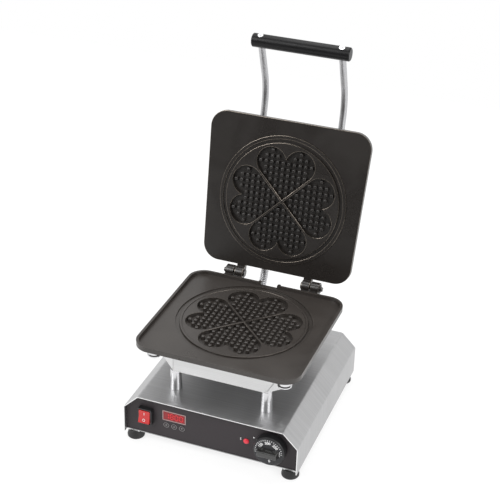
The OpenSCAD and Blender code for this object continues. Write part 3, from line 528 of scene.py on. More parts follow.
WHITE_PRINT = Gritty(
    "white_print", (0.82, 0.82, 0.82), 0.4, 0.55, 0.05, (0.7, 0.7, 0.7), 2200.0, 0.2, 0.4
)
GREY_PRINT = Gritty(
    "grey_print", (0.36, 0.35, 0.35), 0.45, 0.6, 0.05, (0.3, 0.29, 0.29), 2200.0, 0.2, 0.4
)
FRAME_PRINT = Gritty(
    "frame_print", (0.42, 0.3, 0.29), 0.4, 0.55, 0.05, (0.36, 0.26, 0.25), 2200.0, 0.2, 0.4
)
WOOL = Gritty("mineral_wool", (0.62, 0.57, 0.4), 0.8, 0.95, 0.7, (0.8, 0.76, 0.6), 260.0, 0.4, 0.2)
BOARD = Gritty("circuit_board", (0.03, 0.14, 0.06), 0.3, 0.5, 0.15, (0.3, 0.24, 0.1), 300.0, 0.1)
CREAM = Gritty("moulded_cream", (0.6, 0.55, 0.45), 0.35, 0.5, 0.1, (0.66, 0.62, 0.52), 500.0, 0.2)
WHITE_NYLON = Gritty("white_nylon", (0.7, 0.7, 0.68), 0.35, 0.5, 0.1, (0.76, 0.76, 0.74), 500.0)
ROCKER_RED = Lit(
    "rocker_red", (0.46, 0.008, 0.01), 0.16, 0.28, 0.03, (0.54, 0.02, 0.016), 900.0, 0.3, 0.5,
    0.4, 0.06, (1.0, 0.04, 0.02)
)
LAMP_RED = Lit(
    "lamp_red", (0.5, 0.012, 0.03), 0.12, 0.22, 0.02, (0.6, 0.03, 0.05), 900.0, 0.3, 0.5, 0.4,
    0.25, (1.0, 0.03, 0.06)
)
WINDOW_RED = Gritty(
    "window_red", (0.075, 0.003, 0.005), 0.14, 0.22, 0.02, (0.09, 0.005, 0.007), 900.0, 0.2, 0.4
)
DIGIT_RED = Lit(
    "digit_red", (0.5, 0.012, 0.018), 0.3, 0.4, 0.02, (0.5, 0.02, 0.024), 900.0, 0.2, 0.4, 0.0,
    0.2, (1.0, 0.03, 0.04)
)

# Finish, record slot and names of the CAD nodes that keep their own shape
NODE_FINISHES: tuple[tuple[Finish, str, tuple[str, ...]], ...] = (
    (PANEL_STEEL, "base_sheet", ("rear_panel",)),
    (DECK_STEEL, "base_sheet", ("bottom_cover",)),
    (FRONT_FOIL, "panel_black", ("front_panel",)),
    (
        ZINC,
        "zinc_screw",
        (
            "foot_screws", "leg_bolts", "lower_clamp_plate", "upper_clamp_plate",
            "lower_screws", "upper_screws", "dial_shaft", "clamp_screws",
        ),
    ),
    (WOOL, "wool", ("lower_insulation", "upper_insulation")),
    (TINTED_SHEATH, "element_sheath", ("lower_element", "upper_element")),
    (COPPER, "copper", ("thermostat_bulb",)),
    (
        TURNED_CHROME,
        "steel_polished",
        (
            "plate_foot_left", "plate_foot_right", "conduit_gland_base", "conduit_gland_lid",
            "grip_screws",
        ),
    ),
    (PIN_STEEL, "steel_polished", ("hinge_pin_left", "hinge_pin_right")),
    (PIN_STEEL, "zinc_screw", ("hinge_clips",)),
    (WINDOW_RED, "window_red", ("display_window",)),
    (FRAME_PRINT, "frame_light", ("display_frame",)),
    (BOARD, "board_green", ("timer_board",)),
    (KEY_CAP, "key_foil", ("key_left", "key_middle", "key_right")),
    (LAMP_RED, "lens_red", ("signal_lamp",)),
    (BLACK_PLASTIC, "plastic_black", ("lamp_holder", "power_relay", "gland_nut")),
    (CREAM, "bakelite", ("thermostat",)),
    (WHITE_NYLON, "terminal_white", ("terminal_block",)),
    (GROUND_ROD, "rod_steel", ("handle_rod_left", "handle_rod_right")),
)


# ---------- shaping ----------


class Shape:
    """A bmesh that becomes one finished piece."""

    def __init__(self, name: str) -> None:
        """Starts an empty shape.

        Args:
            name: The piece's name.
        """
        self.name = name
        self.bm = bmesh.new()

    @classmethod
    def from_node(cls, name: str, node: str) -> "Shape":
        """A merged copy of a CAD node's mesh, with its flat faces made whole.

        Args:
            name: The piece's name.
            node: The CAD node to copy.

        Returns:
            The new shape.
        """
        shape = cls(name)
        bm = shape.bm
        bm.from_mesh(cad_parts[node].data)
        bmesh.ops.remove_doubles(bm, verts=bm.verts, dist=WELD_DISTANCE)
        bmesh.ops.dissolve_limit(bm, angle_limit=FLAT_ANGLE, verts=bm.verts, edges=bm.edges)
        return shape

    def place(self, matrix: Matrix, verts: Iterable[bmesh.types.BMVert] | None = None) -> "Shape":
        """Moves the whole shape, or some of it.

        Args:
            matrix: The move.
            verts: The vertices to move, or None for all.

        Returns:
            The shape itself.
        """
        chosen = list(self.bm.verts if verts is None else verts)
        bmesh.ops.transform(self.bm, matrix=matrix, verts=chosen)
        return self

    def turned(self, profile: Sequence[tuple[float, float]], steps: int = 48) -> "Shape":
        """Spins a profile once round Z.

        Args:
            profile: Radius and height of each corner, from the bottom up the outside.
            steps: Sides of the turned piece.

        Returns:
            The shape itself.
        """
        corners = [self.bm.verts.new((radius, 0.0, height)) for radius, height in profile]
        lines = [self.bm.edges.new(pair) for pair in zip(corners, corners[1:])]
        bmesh.ops.spin(
            self.bm,
            geom=corners + lines,
            axis=(0.0, 0.0, 1.0),
            cent=(0.0, 0.0, 0.0),
            angle=math.tau,
            steps=steps,
            use_merge=True,
        )
        bmesh.ops.remove_doubles(self.bm, verts=self.bm.verts, dist=1e-7)
        bmesh.ops.recalc_face_normals(self.bm, faces=self.bm.faces)
        return self

    def slab(self, corners: Sequence[tuple[float, float]], thickness: float) -> "Shape":
        """Adds a flat plate with the given outline, standing on z = 0.

        Args:
            corners: Outline in the XY plane, counter-clockwise.
            thickness: Height along +Z.

        Returns:
            The shape itself.
        """
        face = self.bm.faces.new([self.bm.verts.new((x, y, 0.0)) for x, y in corners])
        made = bmesh.ops.extrude_face_region(self.bm, geom=[face])
        top = [g for g in made["geom"] if isinstance(g, bmesh.types.BMVert)]
        bmesh.ops.translate(self.bm, vec=(0.0, 0.0, thickness), verts=top)
        bmesh.ops.recalc_face_normals(self.bm, faces=self.bm.faces)
        return self

    def add(self, other: "Shape", matrix: Matrix | None = None) -> "Shape":
        """Adds a copy of another shape, which stays usable.

        Args:
            other: The shape to copy in.
            matrix: Where the copy goes.

        Returns:
            The shape itself.
        """
        mesh = bpy.data.meshes.new("copied")
        other.bm.to_mesh(mesh)
        mesh.transform(matrix or Matrix.Identity(4))
        self.bm.from_mesh(mesh)
        bpy.data.meshes.remove(mesh)
        return self

    def soften(
        self,
        width: float,
        segments: int = 2,
        above: float = 25.0,
        below: float = 181.0,
        keep: Callable[[bmesh.types.BMEdge], bool] | None = None,
        mark: int = 0,
        clamp: bool = True,
    ) -> "Shape":
        """Rounds the convex edges whose angle is in a range.

        Args:
            width: Width of the rounding.
            segments: Faces across the rounding.
            above: Smallest angle between faces, in degrees.
            below: Largest angle, in degrees.
            keep: Picks among those edges, or None for all.
            mark: Material slot of the new faces.
            clamp: False when one short edge somewhere shouldn't narrow every rounding.

        Returns:
            The shape itself.
        """
        self.bm.normal_update()
        low, high = math.radians(above), math.radians(below)
        edges = [
            e
            for e in self.bm.edges
            if len(e.link_faces) == 2
            and low < e.calc_face_angle_signed(0.0) < high
            and (keep is None or keep(e))
        ]
        for face in self.bevel(edges, width, segments, clamp):
            face.material_index = mark
        return self

    def bevel(
        self,
        edges: Iterable[bmesh.types.BMEdge],
        width: float,
        segments: int,
        clamp: bool = True,
    ) -> list[bmesh.types.BMFace]:
        """Rounds edges.

        Args:
            edges: The edges.
            width: Width of the rounding.
            segments: Faces across the rounding.
            clamp: False when one short edge somewhere shouldn't narrow every rounding.

        Returns:
            The new faces.
        """
        edges = list(edges)
        if not edges:
            return []
        made = bmesh.ops.bevel(
            self.bm,
            geom=edges,
            offset=width,
            offset_type="OFFSET",
            affect="EDGES",
            segments=segments,
            profile=0.5,
            clamp_overlap=clamp,
            material=-1,
        )
        return made["faces"]

    def done(
        self,
        finish: Finish,
        body: str,
        slot: str,
        replaces: Sequence[str] = (),
        smooth: float = 32.0,
        shared: bool = False,
    ) -> bpy.types.Object:
        """Makes the shape an object that rides on a CAD body.

        Args:
            finish: The finish it wears.
            body: The CAD body it moves with, or an empty name for a piece left without one.
            slot: The record's material slot; not used.
            replaces: CAD nodes it stands for.
            smooth: Largest angle that is shaded smoothly, in degrees.
            shared: True to leave the piece without a body.

        Returns:
            The new object.
        """
        mesh = bpy.data.meshes.new(self.name)
        self.bm.to_mesh(mesh)
        self.bm.free()
        mesh.shade_smooth()
        mesh.set_sharp_from_angle(angle=math.radians(smooth))
        piece = in_scene(self.name, mesh)
        piece.modifiers.new("even_shading", "WEIGHTED_NORMAL").keep_sharp = True
        mesh.materials.append(finish.material())
        if not shared:
            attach(piece, body)
        if replaces:
            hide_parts(*replaces)
        LOG.info("piece %s: %d faces on %s", self.name, len(mesh.polygons), body or "two bodies")
        return piece


def lettering(name: str, words: Iterable[tuple[str, float, Matrix]], thickness: float) -> Shape:
    """Raised figures as one shape.

    Args:
        name: The piece's name.
        words: Text, letter height and place of each figure, which is drawn in the XY plane.
        thickness: Height of the raised figures along their own +Z.

    Returns:
        The figures as a shape.
    """
    shape = Shape(name)
    for text, height, matrix in words:
        curve = bpy.data.curves.new("figure", "FONT")
        curve.body = text
        curve.size = height
        curve.align_x = "CENTER"
        curve.align_y = "CENTER"
        curve.extrude = thickness / 2
        curve.resolution_u = 3
        curve.offset = height * STROKE_WEIGHT
        holder = bpy.data.objects.new("figure", curve)
        mesh = bpy.data.meshes.new_from_object(holder)
        mesh.transform(matrix @ Matrix.Translation((0.0, 0.0, thickness / 2)))
        shape.bm.from_mesh(mesh)
        bpy.data.objects.remove(holder)
        bpy.data.curves.remove(curve)
        bpy.data.meshes.remove(mesh)
    return shape


def ring_profile(outer: float, inner: float, height: float) -> list[tuple[float, float]]:
    """Closed section of a flat ring, for turning.

    Args:
        outer: Outer radius.
        inner: Inner radius.
        height: Thickness along Z.

    Returns:
        The section's corners, ending where it starts.
    """
    return [(inner, 0.0), (outer, 0.0), (outer, height), (inner, height), (inner, 0.0)]


def rectangle(left: float, right: float, low: float, high: float) -> list[tuple[float, float]]:
    """Outline of a rectangle, counter-clockwise, for a slab.

    Args:
        left: Smallest X.
        right: Largest X.
        low: Smallest Y.
        high: Largest Y.

    Returns:
        The four corners.
    """
    return [(left, low), (right, low), (right, high), (left, high)]


def middle(node: str) -> Vector:
    """Middle of a CAD node's box.

    Args:
        node: The CAD node.

    Returns:
        The point.
    """
    low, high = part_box(node)
    return Vector(((low.x + high.x) / 2, (low.y + high.y) / 2, (low.z + high.z) / 2))


def facing_front(x: float, y: float, z: float) -> Matrix:
    """Frame for a drawing that faces the front.

    Args:
        x: Its place across.
        y: Its place from front to back.
        z: Its height.

    Returns:
        The frame.
    """
    return Matrix.Translation((x, y, z)) @ FACING_FRONT


def soft_copy(
    name: str,
    node: str,
    finish: Finish,
    body: str,
    slot: str,
    *roundings: tuple[float, ...],
) -> bpy.types.Object:
    """Makes a piece that is a CAD node with rounded edges.

    Args:
        name: The piece's name.
        node: The CAD node it stands for.
        finish: The finish it wears.
        body: The CAD body it moves with.
        slot: The record's material slot.
        *roundings: Width, segments and angles of each rounding, as Shape.soften takes them.

    Returns:
        The new object.
    """
    shape = Shape.from_node(name, node)
    for rounding in roundings:
        shape.soften(*rounding)
    return shape.done(finish, body, slot, [node])


def dress(node: str, finish: Finish) -> None:
    """Gives a CAD node its finish.

    Args:
        node: The CAD node.
        finish: The finish it wears.
    """
    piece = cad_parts[node]
    piece.data.materials.clear()
    piece.data.materials.append(finish.material())
    LOG.info("node %s wears %s", node, finish.name)


# ---------- sub-assemblies ----------


@dataclass
class ControlBase:
    """The low folded base with its feet, its legs and its rear fittings.

    Attributes:
        fold_round: Outside radius of the cover's folds.
        cut_round: Rounding of cut sheet edges.
        cut_facing: How far a face turns to front or back to be a cut end, from 0 to 1.
        screw_head: Radius of the rear panel's screws.
        gland_ribs: Number of grip ribs round the cord gland's cap.
        rib_size: Half width, half length and height of a rib.
        rib_seat: Distance of the ribs from the gland's axis.
        cap_middle: Distance of the cap's middle from the gland's outer end.
    """

    fold_round: float = 0.0022
    cut_round: float = 0.0003
    cut_facing: float = 0.6
    screw_head: float = 0.0035
    gland_ribs: int = 24
    rib_size: tuple[float, float, float] = (0.0006, 0.0032, 0.0009)
    rib_seat: float = 0.0103
    cap_middle: float = 0.009

    def build(self) -> None:
        """Builds the cover, feet, legs, rear screws and cord gland."""
        self.cover()
        self.feet_and_legs()
        self.rear_screws()
        self.cord_gland()

    def cover(self) -> None:
        """The folded cover with rounded folds and broken edges."""
        shape = Shape.from_node("folded_cover", "base_shell")
        shape.soften(self.fold_round, 4, 35.0, 55.0)
        shape.soften(self.cut_round, 1, 70.0, 110.0)
        for face in shape.bm.faces:
            # The cut ends of the sheet face the front or the back
            if abs(face.normal.y) > self.cut_facing:
                face.material_index = 1
        cover = shape.done(DECK_STEEL, "base", "base_sheet", ["base_shell"])
        # The cut ends in slot 1 wear the near-white metal: a painted highlight along the sheet's
        # edges
        cover.data.materials.append(CUT_END_HIGHLIGHT.material())

    def feet_and_legs(self) -> None:
        """The rubber feet with a rounded skirt, and the tapered legs."""
        for corner in ("front_left", "front_right", "rear_left", "rear_right"):
            for name, node, finish, slot, rounding in (
                ("rubber_foot", "foot", FOOT_RUBBER, "rubber_black", (0.0007, 2, 20.0)),
                ("tapered_leg", "leg", POLISHED_LEG, "steel_polished", (0.0006, 2, 40.0)),
            ):
                soft_copy(f"{name}_{corner}", f"{node}_{corner}", finish, "base", slot, rounding)

    def rear_screws(self) -> None:
        """Pan-head screws at the corners of the rear panel."""
        low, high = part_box("rear_panel")
        head = Shape("head").turned(
            [
                (0.0, 0.0),
                (self.screw_head, 0.0),
                (self.screw_head, 0.0008),
                (self.screw_head * 0.8, 0.0018),
                (self.screw_head * 0.4, 0.0022),
                (self.screw_head * 0.36, 0.0010),
                (0.0, 0.0010),
            ],
            24,
        )
        shape = Shape("rear_panel_screws")
        back = Matrix.Rotation(-math.pi / 2, 4, "X")
        for x in (low.x + 0.010, high.x - 0.010):
            for z in (low.z + 0.008, high.z - 0.034):
                shape.add(head, Matrix.Translation((x, high.y, z)) @ back)
        shape.done(ZINC, "base", "zinc_screw")

    def cord_gland(self) -> None:
        """The cord gland with grip ribs round its cap."""
        centre = middle("cable_gland")
        centre.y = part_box("cable_gland")[1].y - self.cap_middle
        shape = Shape.from_node("cord_gland", "cable_gland")
        shape.soften(0.0005, 2, 40.0)
        wide, long, tall = self.rib_size
        rib = Shape("rib").slab(rectangle(-wide, wide, -long, long), tall)
        outward = Matrix.Translation((0.0, 0.0, self.rib_seat))
        for step in range(self.gland_ribs):
            turn = Matrix.Rotation(math.tau * step / self.gland_ribs, 4, "Y")
            shape.add(rib, Matrix.Translation(centre) @ turn @ outward)
        shape.done(BLACK_PLASTIC, "base", "plastic_black", ["cable_gland"])


@dataclass
class HeaterPlates:
    """The two coated baking plates and the sheet housings behind them.

    Attributes:
        stud_area: Area of a stud's flat top in the CAD.
        area_slack: How far a stud's top may differ from that area.
        stud_taper: How much smaller a stud is at its top.
        stud_round: Rounding of a stud's edges.
        cast_round: Rounding of the casting's edges.
        shortest: Shortest edge of a casting that is rounded.
        fold_round: Outside radius of a housing's folds.
        housing_w: Width of a housing.
        housing_cut: Size of the cut across its corners.
        lid_housing: Place of the lid housing's floor in the lid's frame.
    """

    stud_area: float = 0.0064**2
    area_slack: float = 2e-8
    stud_taper: float = 0.86
    stud_round: float = 0.0014
    cast_round: float = 0.0008
    shortest: float = 0.0012
    fold_round: float = 0.0014
    housing_w: float = 0.224
    housing_cut: float = 0.030
    lid_housing: tuple[float, float, float] = (0.0, 0.1448, -0.0585)

    def build(self) -> None:
        """Builds the plates, both housings and the folded corner flaps."""
        # The lower casting's edges wear the dimmer painted highlight, and the upper plate's edges
        # wear the brighter one
        self.plate("lower_tray", "lower_plate", BAKING_NON_STICK, LOWER_EDGE_HIGHLIGHT, "base")
        self.plate("lower_baking_disc", "baking_disc", BAKING_NON_STICK, LOWER_EDGE_HIGHLIGHT, "base")
        self.plate("lower_hinge_lugs", "hinge_lugs", NON_STICK, LOWER_EDGE_HIGHLIGHT, "base")
        self.plate("upper_baking_plate", "upper_plate", NON_STICK, UPPER_EDGE_HIGHLIGHT, "lid")
        low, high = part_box("lower_housing")
        upright = Matrix.Translation((0.0, PATTERN.y, low.z))
        behind = LID_FRAME @ Matrix.Translation(self.lid_housing)
        folds, edges = (self.fold_round, 3, 35.0, 55.0), (0.0003, 1, 70.0, 110.0)
        sides = (
            ("lower", HOUSING_STEEL, "base", upright),
            ("upper", LID_HOUSING_STEEL, "lid", behind),
        )
        for side, finish, body, _ in sides:
            name, node = f"{side}_heater_box", f"{side}_housing"
            soft_copy(name, node, finish, body, "housing_sheet", folds, edges)
        for side, finish, body, place in sides:
            self.flaps(f"{side}_corner_flaps", place, high.z - low.z, finish, body)

    def plate(self, name: str, node: str, finish: Finish, edge: Finish, body: str) -> None:
        """A cast plate with tapered studs and soft edges.

        Args:
            name: The piece's name.
            node: The CAD node it stands for.
            finish: Its coating.
            edge: The paler metal on the rounded edges, a painted highlight.
            body: The CAD body it rides on.
        """
        shape = Shape.from_node(name, node)
        tops = [
            f for f in shape.bm.faces if abs(f.calc_area() - self.stud_area) < self.area_slack
        ]
        rims = set()
        for top in tops:
            bmesh.ops.scale(
                shape.bm,
                vec=(self.stud_taper,) * 3,
                space=Matrix.Translation(-top.calc_center_median()),
                verts=top.verts,
            )
            rims.update(top.edges)
            rims.update(e for v in top.verts for e in v.link_edges)
        shape.bm.normal_update()
        done = {v for f in shape.bevel(rims, self.stud_round, 3) for v in f.verts}
        # The rounded casting edges take slot 1, the paler edge metal: a painted highlight
        shape.soften(
            self.cast_round,
            2,
            35.0,
            keep=lambda e: e.calc_length() > self.shortest
            and not (e.verts[0] in done and e.verts[1] in done),
            mark=1,
            clamp=not tops,
        )
        LOG.info("%s has %d studs", name, len(tops))
        piece = shape.done(finish, body, "coating", [node])
        piece.data.materials.append(edge.material())

    def flaps(self, name: str, place: Matrix, height: float, finish: Finish, body: str) -> None:
        """Sheet triangles folded over the four cut corners of a housing.

        Args:
            name: The piece's name.
            place: Frame with the housing's middle at its origin and its floor on z = 0.
            height: Height of the housing.
            finish: Its sheet finish.
            body: The CAD body it rides on.
        """
        width = self.housing_cut * math.sqrt(2) - 0.001
        rise = height - 0.002
        out = (self.housing_w - self.housing_cut) / math.sqrt(2)
        flap = Shape("flap").slab([(0.001, 0.0012), (width, 0.0012), (width, rise)], 0.0007)
        shape = Shape(name)
        standing = Matrix.Rotation(math.pi / 2, 4, "X")
        for turn in range(4):
            side = Matrix.Rotation(math.radians(45.0 + 90.0 * turn), 4, "Z")
            seat = side @ Matrix.Translation((-width / 2, -out, 0.0)) @ standing
            shape.add(flap, place @ seat)
        shape.soften(0.0002, 1, 40.0)
        shape.done(finish, body, "housing_sheet")


@dataclass
class FrontControls:
    """Switch, display, keys, lamp and dial on the front panel.

    Attributes:
        mark: Thickness of printed marks.
        dial_ticks: Ticks on the dial's scale.
        scale_start: Angle of the first tick, in degrees anticlockwise from three o'clock.
        scale_sweep: Angle from the first tick to the last, clockwise.
        zero_place: Angle of the zero.
        numbers: Numbers spread over the scale.
        dial_level: Height of the dial's printed face over the panel.
        pivot_depth: Depth of the rocker's pivot from the base's front edge.
        rocker_face: Distance from the pivot to the ridge between the rocker's two faces.
        rocker_reach: Half height of the rocker.
        rocker_fall: How far each face falls away towards its end.
        rocker_rest: The rocker's tilt at rest, in degrees.
    """

    mark: float = 0.00016
    dial_ticks: int = 21
    scale_start: float = 190.0
    scale_sweep: float = 188.0
    zero_place: float = 278.0
    numbers: tuple[str, ...] = ("100", "150", "200", "250", "300")
    dial_level: float = 0.0164
    pivot_depth: float = 0.005
    rocker_face: float = 0.0082
    rocker_reach: float = 0.0115
    rocker_fall: float = 0.002
    rocker_rest: float = -9.0

    def build(self) -> None:
        """Builds every control in order from left to right."""
        self.switch()
        self.display()
        self.keys()
        self.lamp_mark()
        self.dial()

    def switch(self) -> None:
        """The black collar and the lit rocker with its I and O."""
        for name, node, finish, body, slot, width in (
            ("switch_collar", "switch_body", BLACK_PLASTIC, "base", "plastic_black", 0.0009),
            ("lit_rocker", "switch_rocker", ROCKER_RED, "rocker", "switch_red", 0.0007),
        ):
            soft_copy(name, node, finish, body, slot, (width, 3, 40.0))
        pivot = middle("switch_body")
        pivot.y = self.pivot_depth - ORIGIN_BACK
        rest = Matrix.Rotation(math.radians(self.rocker_rest), 4, "X")
        slope = math.atan2(self.rocker_fall, self.rocker_reach)
        upright = rectangle(-0.0005, 0.0005, -0.0024, 0.0024)
        figures = Shape("rocker_marks")
        for figure, side in (
            (Shape("bar").slab(upright, self.mark), 1.0),
            (Shape("loop").turned(ring_profile(0.0025, 0.0018, self.mark), 28), -1.0),
        ):
            face = (0.0, -self.rocker_face - 0.00001, side * self.rocker_reach / 2)
            lean = Matrix.Translation(face) @ Matrix.Rotation(side * slope, 4, "X")
            figures.add(figure, Matrix.Translation(pivot) @ rest @ lean @ FACING_FRONT)
        figures.done(WHITE_PRINT, "rocker", "frame_light")

    def display(self) -> None:
        """Four lit digits behind the window, built from bars."""
        centre = middle("display_frame")
        centre.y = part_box("display_window")[0].y
        tall, wide, stroke, pitch = 0.0100, 0.0054, 0.0016, 0.0086
        half, thick = tall / 2, stroke / 2
        level = rectangle(-wide / 2 + thick, wide / 2 - thick, -thick, thick)
        upright = rectangle(-thick, thick, -half / 2 + thick, half / 2 - thick)
        bars = {
            "a": (level, 0.0, half), "g": (level, 0.0, 0.0), "d": (level, 0.0, -half),
            "f": (upright, -wide / 2, half / 2), "b": (upright, wide / 2, half / 2),
            "e": (upright, -wide / 2, -half / 2), "c": (upright, wide / 2, -half / 2),
        }
        digits = Shape("display_digits")
        for place, lit in enumerate(("bc", "abcdefg", "abcdef", "abcdef")):
            for key in lit:
                outline, x, z = bars[key]
                spot = Matrix.Translation(centre + Vector((pitch * (place - 1.5) + x, 0.0, z)))
                digits.add(Shape("bar").slab(outline, self.mark), spot @ FACING_FRONT)
        digits.done(DIGIT_RED, "base", "window_red")

    def keys(self) -> None:
        """A thin ring and a small sign on each key."""
        signs = {
            "left": [
                rectangle(-0.0016, 0.0016, -0.0013, -0.0009),
                rectangle(-0.0016, 0.0016, 0.0009, 0.0013),
                rectangle(-0.0002, 0.0002, -0.0009, 0.0009),
            ],
            "middle": [[(-0.0014, -0.0009), (0.0014, -0.0009), (0.0, 0.0014)]],
            "right": [[(-0.0014, 0.0009), (0.0, -0.0014), (0.0014, 0.0009)]],
        }
        for key, outlines in signs.items():
            centre = middle(f"key_{key}")
            seat = facing_front(centre.x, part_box(f"key_{key}")[0].y, centre.z)
            marks = Shape(f"key_marks_{key}")
            marks.add(Shape("ring").turned(ring_profile(0.0049, 0.0044, self.mark), 40), seat)
            for outline in outlines:
                marks.add(Shape("sign").slab(outline, self.mark), seat)
            marks.done(GREY_PRINT, f"key_{key}", "frame_light")

    def lamp_mark(self) -> None:
        """A small thermometer sign beside the lamp and a pointer beside the dial."""
        beside = facing_front(
            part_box("signal_lamp")[0].x - 0.005, PANEL_Y, middle("signal_lamp").z + 0.001
        )
        pointer = facing_front(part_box("dial")[0].x - 0.0036, PANEL_Y, middle("dial").z + 0.008)
        disc = [(0.0, 0.0), (0.0011, 0.0), (0.0011, self.mark), (0.0, self.mark)]
        arrow = [(-0.002, 0.0017), (-0.002, -0.0017), (0.0018, 0.0)]
        marks = Shape("panel_marks")
        marks.add(Shape("stem").slab(rectangle(-0.0005, 0.0005, 0.0, 0.0038), self.mark), beside)
        marks.add(Shape("bulb").turned(disc, 20), beside)
        marks.add(Shape("pointer").slab(arrow, self.mark), pointer)
        marks.done(WHITE_PRINT, "base", "frame_light")

    def dial(self) -> None:
        """The thermostat dial: skirt, sloped scale ring, grip bar and printed scale."""
        low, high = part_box("dial")
        facing = facing_front(middle("dial").x, high.y, middle("dial").z)
        radius = (high.x - low.x) / 2
        body = Shape("dial_body").turned(
            [
                (0.0, 0.0005),
                (radius - 0.0006, 0.0),
                (radius, 0.0006),
                (radius, 0.0140),
                (radius - 0.0009, 0.0156),
                (radius - 0.0018, 0.0160),
                (0.0, 0.0160),
            ],
            96,
        )
        # The body wears black plastic, darker than the face of the same moulding: painted shade on
        # the skirt
        body.place(facing).done(BLACK_PLASTIC, "dial", "dial_plastic", ["dial"], 20.0)
        rim = radius - 0.0021
        face = Shape("dial_face").turned(
            [
                (0.0, 0.0159),
                (rim, 0.0159),
                (rim, 0.0162),
                (rim - 0.0003, self.dial_level),
                (0.0, self.dial_level),
            ],
            96,
        )
        face.place(facing).done(DIAL_PLASTIC, "dial", "dial_plastic", (), 20.0)
        length, foot, top, tall = 0.0192, 0.0074, 0.0048, 0.0112
        bar = Shape("dial_grip_bar").slab(rectangle(-length, length, -foot, foot), tall)
        crest = [v for v in bar.bm.verts if v.co.z > tall / 2]
        bar.place(Matrix.Diagonal((0.84, top / foot, 1.0, 1.0)), crest)
        bar.soften(0.0013, 3, 30.0)
        bar.place(facing @ Matrix.Translation((0.0, 0.0, self.dial_level)))
        bar.done(BAR_PLASTIC, "dial", "dial_plastic")
        self.dial_scale(facing, radius)

    def dial_scale(self, facing: Matrix, radius: float) -> None:
        """Ticks and plain numbers on the dial's face.

        Args:
            facing: Frame of the dial, its face towards +Z.
            radius: Outer radius of the skirt.
        """
        marks = Shape("dial_scale_ticks")
        half = 0.0005
        for step in range(self.dial_ticks):
            turn = self.scale_start - self.scale_sweep * step / (self.dial_ticks - 1)
            reach = 0.0028 if step % 5 == 0 else 0.0019
            tick = Shape("tick").slab(rectangle(0.0, reach, -half, half), self.mark)
            spot = Matrix.Rotation(math.radians(turn), 4, "Z") @ Matrix.Translation(
                (radius - 0.0033 - reach, 0.0, self.dial_level)
            )
            marks.add(tick, facing @ spot)
        marks.done(WHITE_PRINT, "dial", "frame_light")
        words = []
        spread = self.scale_sweep / (len(self.numbers) - 1)
        places = [(text, self.scale_start - spread * i) for i, text in enumerate(self.numbers)]
        for text, turn in places + [("0", self.zero_place)]:
            angle = math.radians(turn)
            out = radius - 0.0100
            spot = Vector((math.cos(angle) * out, math.sin(angle) * out, self.dial_level))
            upright = Matrix.Rotation(angle - math.pi / 2, 4, "Z")
            words.append((text, 0.0068, facing @ Matrix.Translation(spot) @ upright))
        lettering("dial_numbers", words, self.mark).done(WHITE_PRINT, "dial", "frame_light")


class LidHandle:
    """Grip and rod clamps of the bow handle."""

    def build(self) -> None:
        """Builds the softened grip and rod clamps."""
        soft_copy("turned_grip", "grip", GRIP_PLASTIC, "lid", "grip_black", (0.0007, 3, 30.0))
        bends = (0.0009, 2, 60.0)
        soft_copy("rod_saddles", "rod_clamps", LID_HOUSING_STEEL, "lid", "housing_sheet", bends)


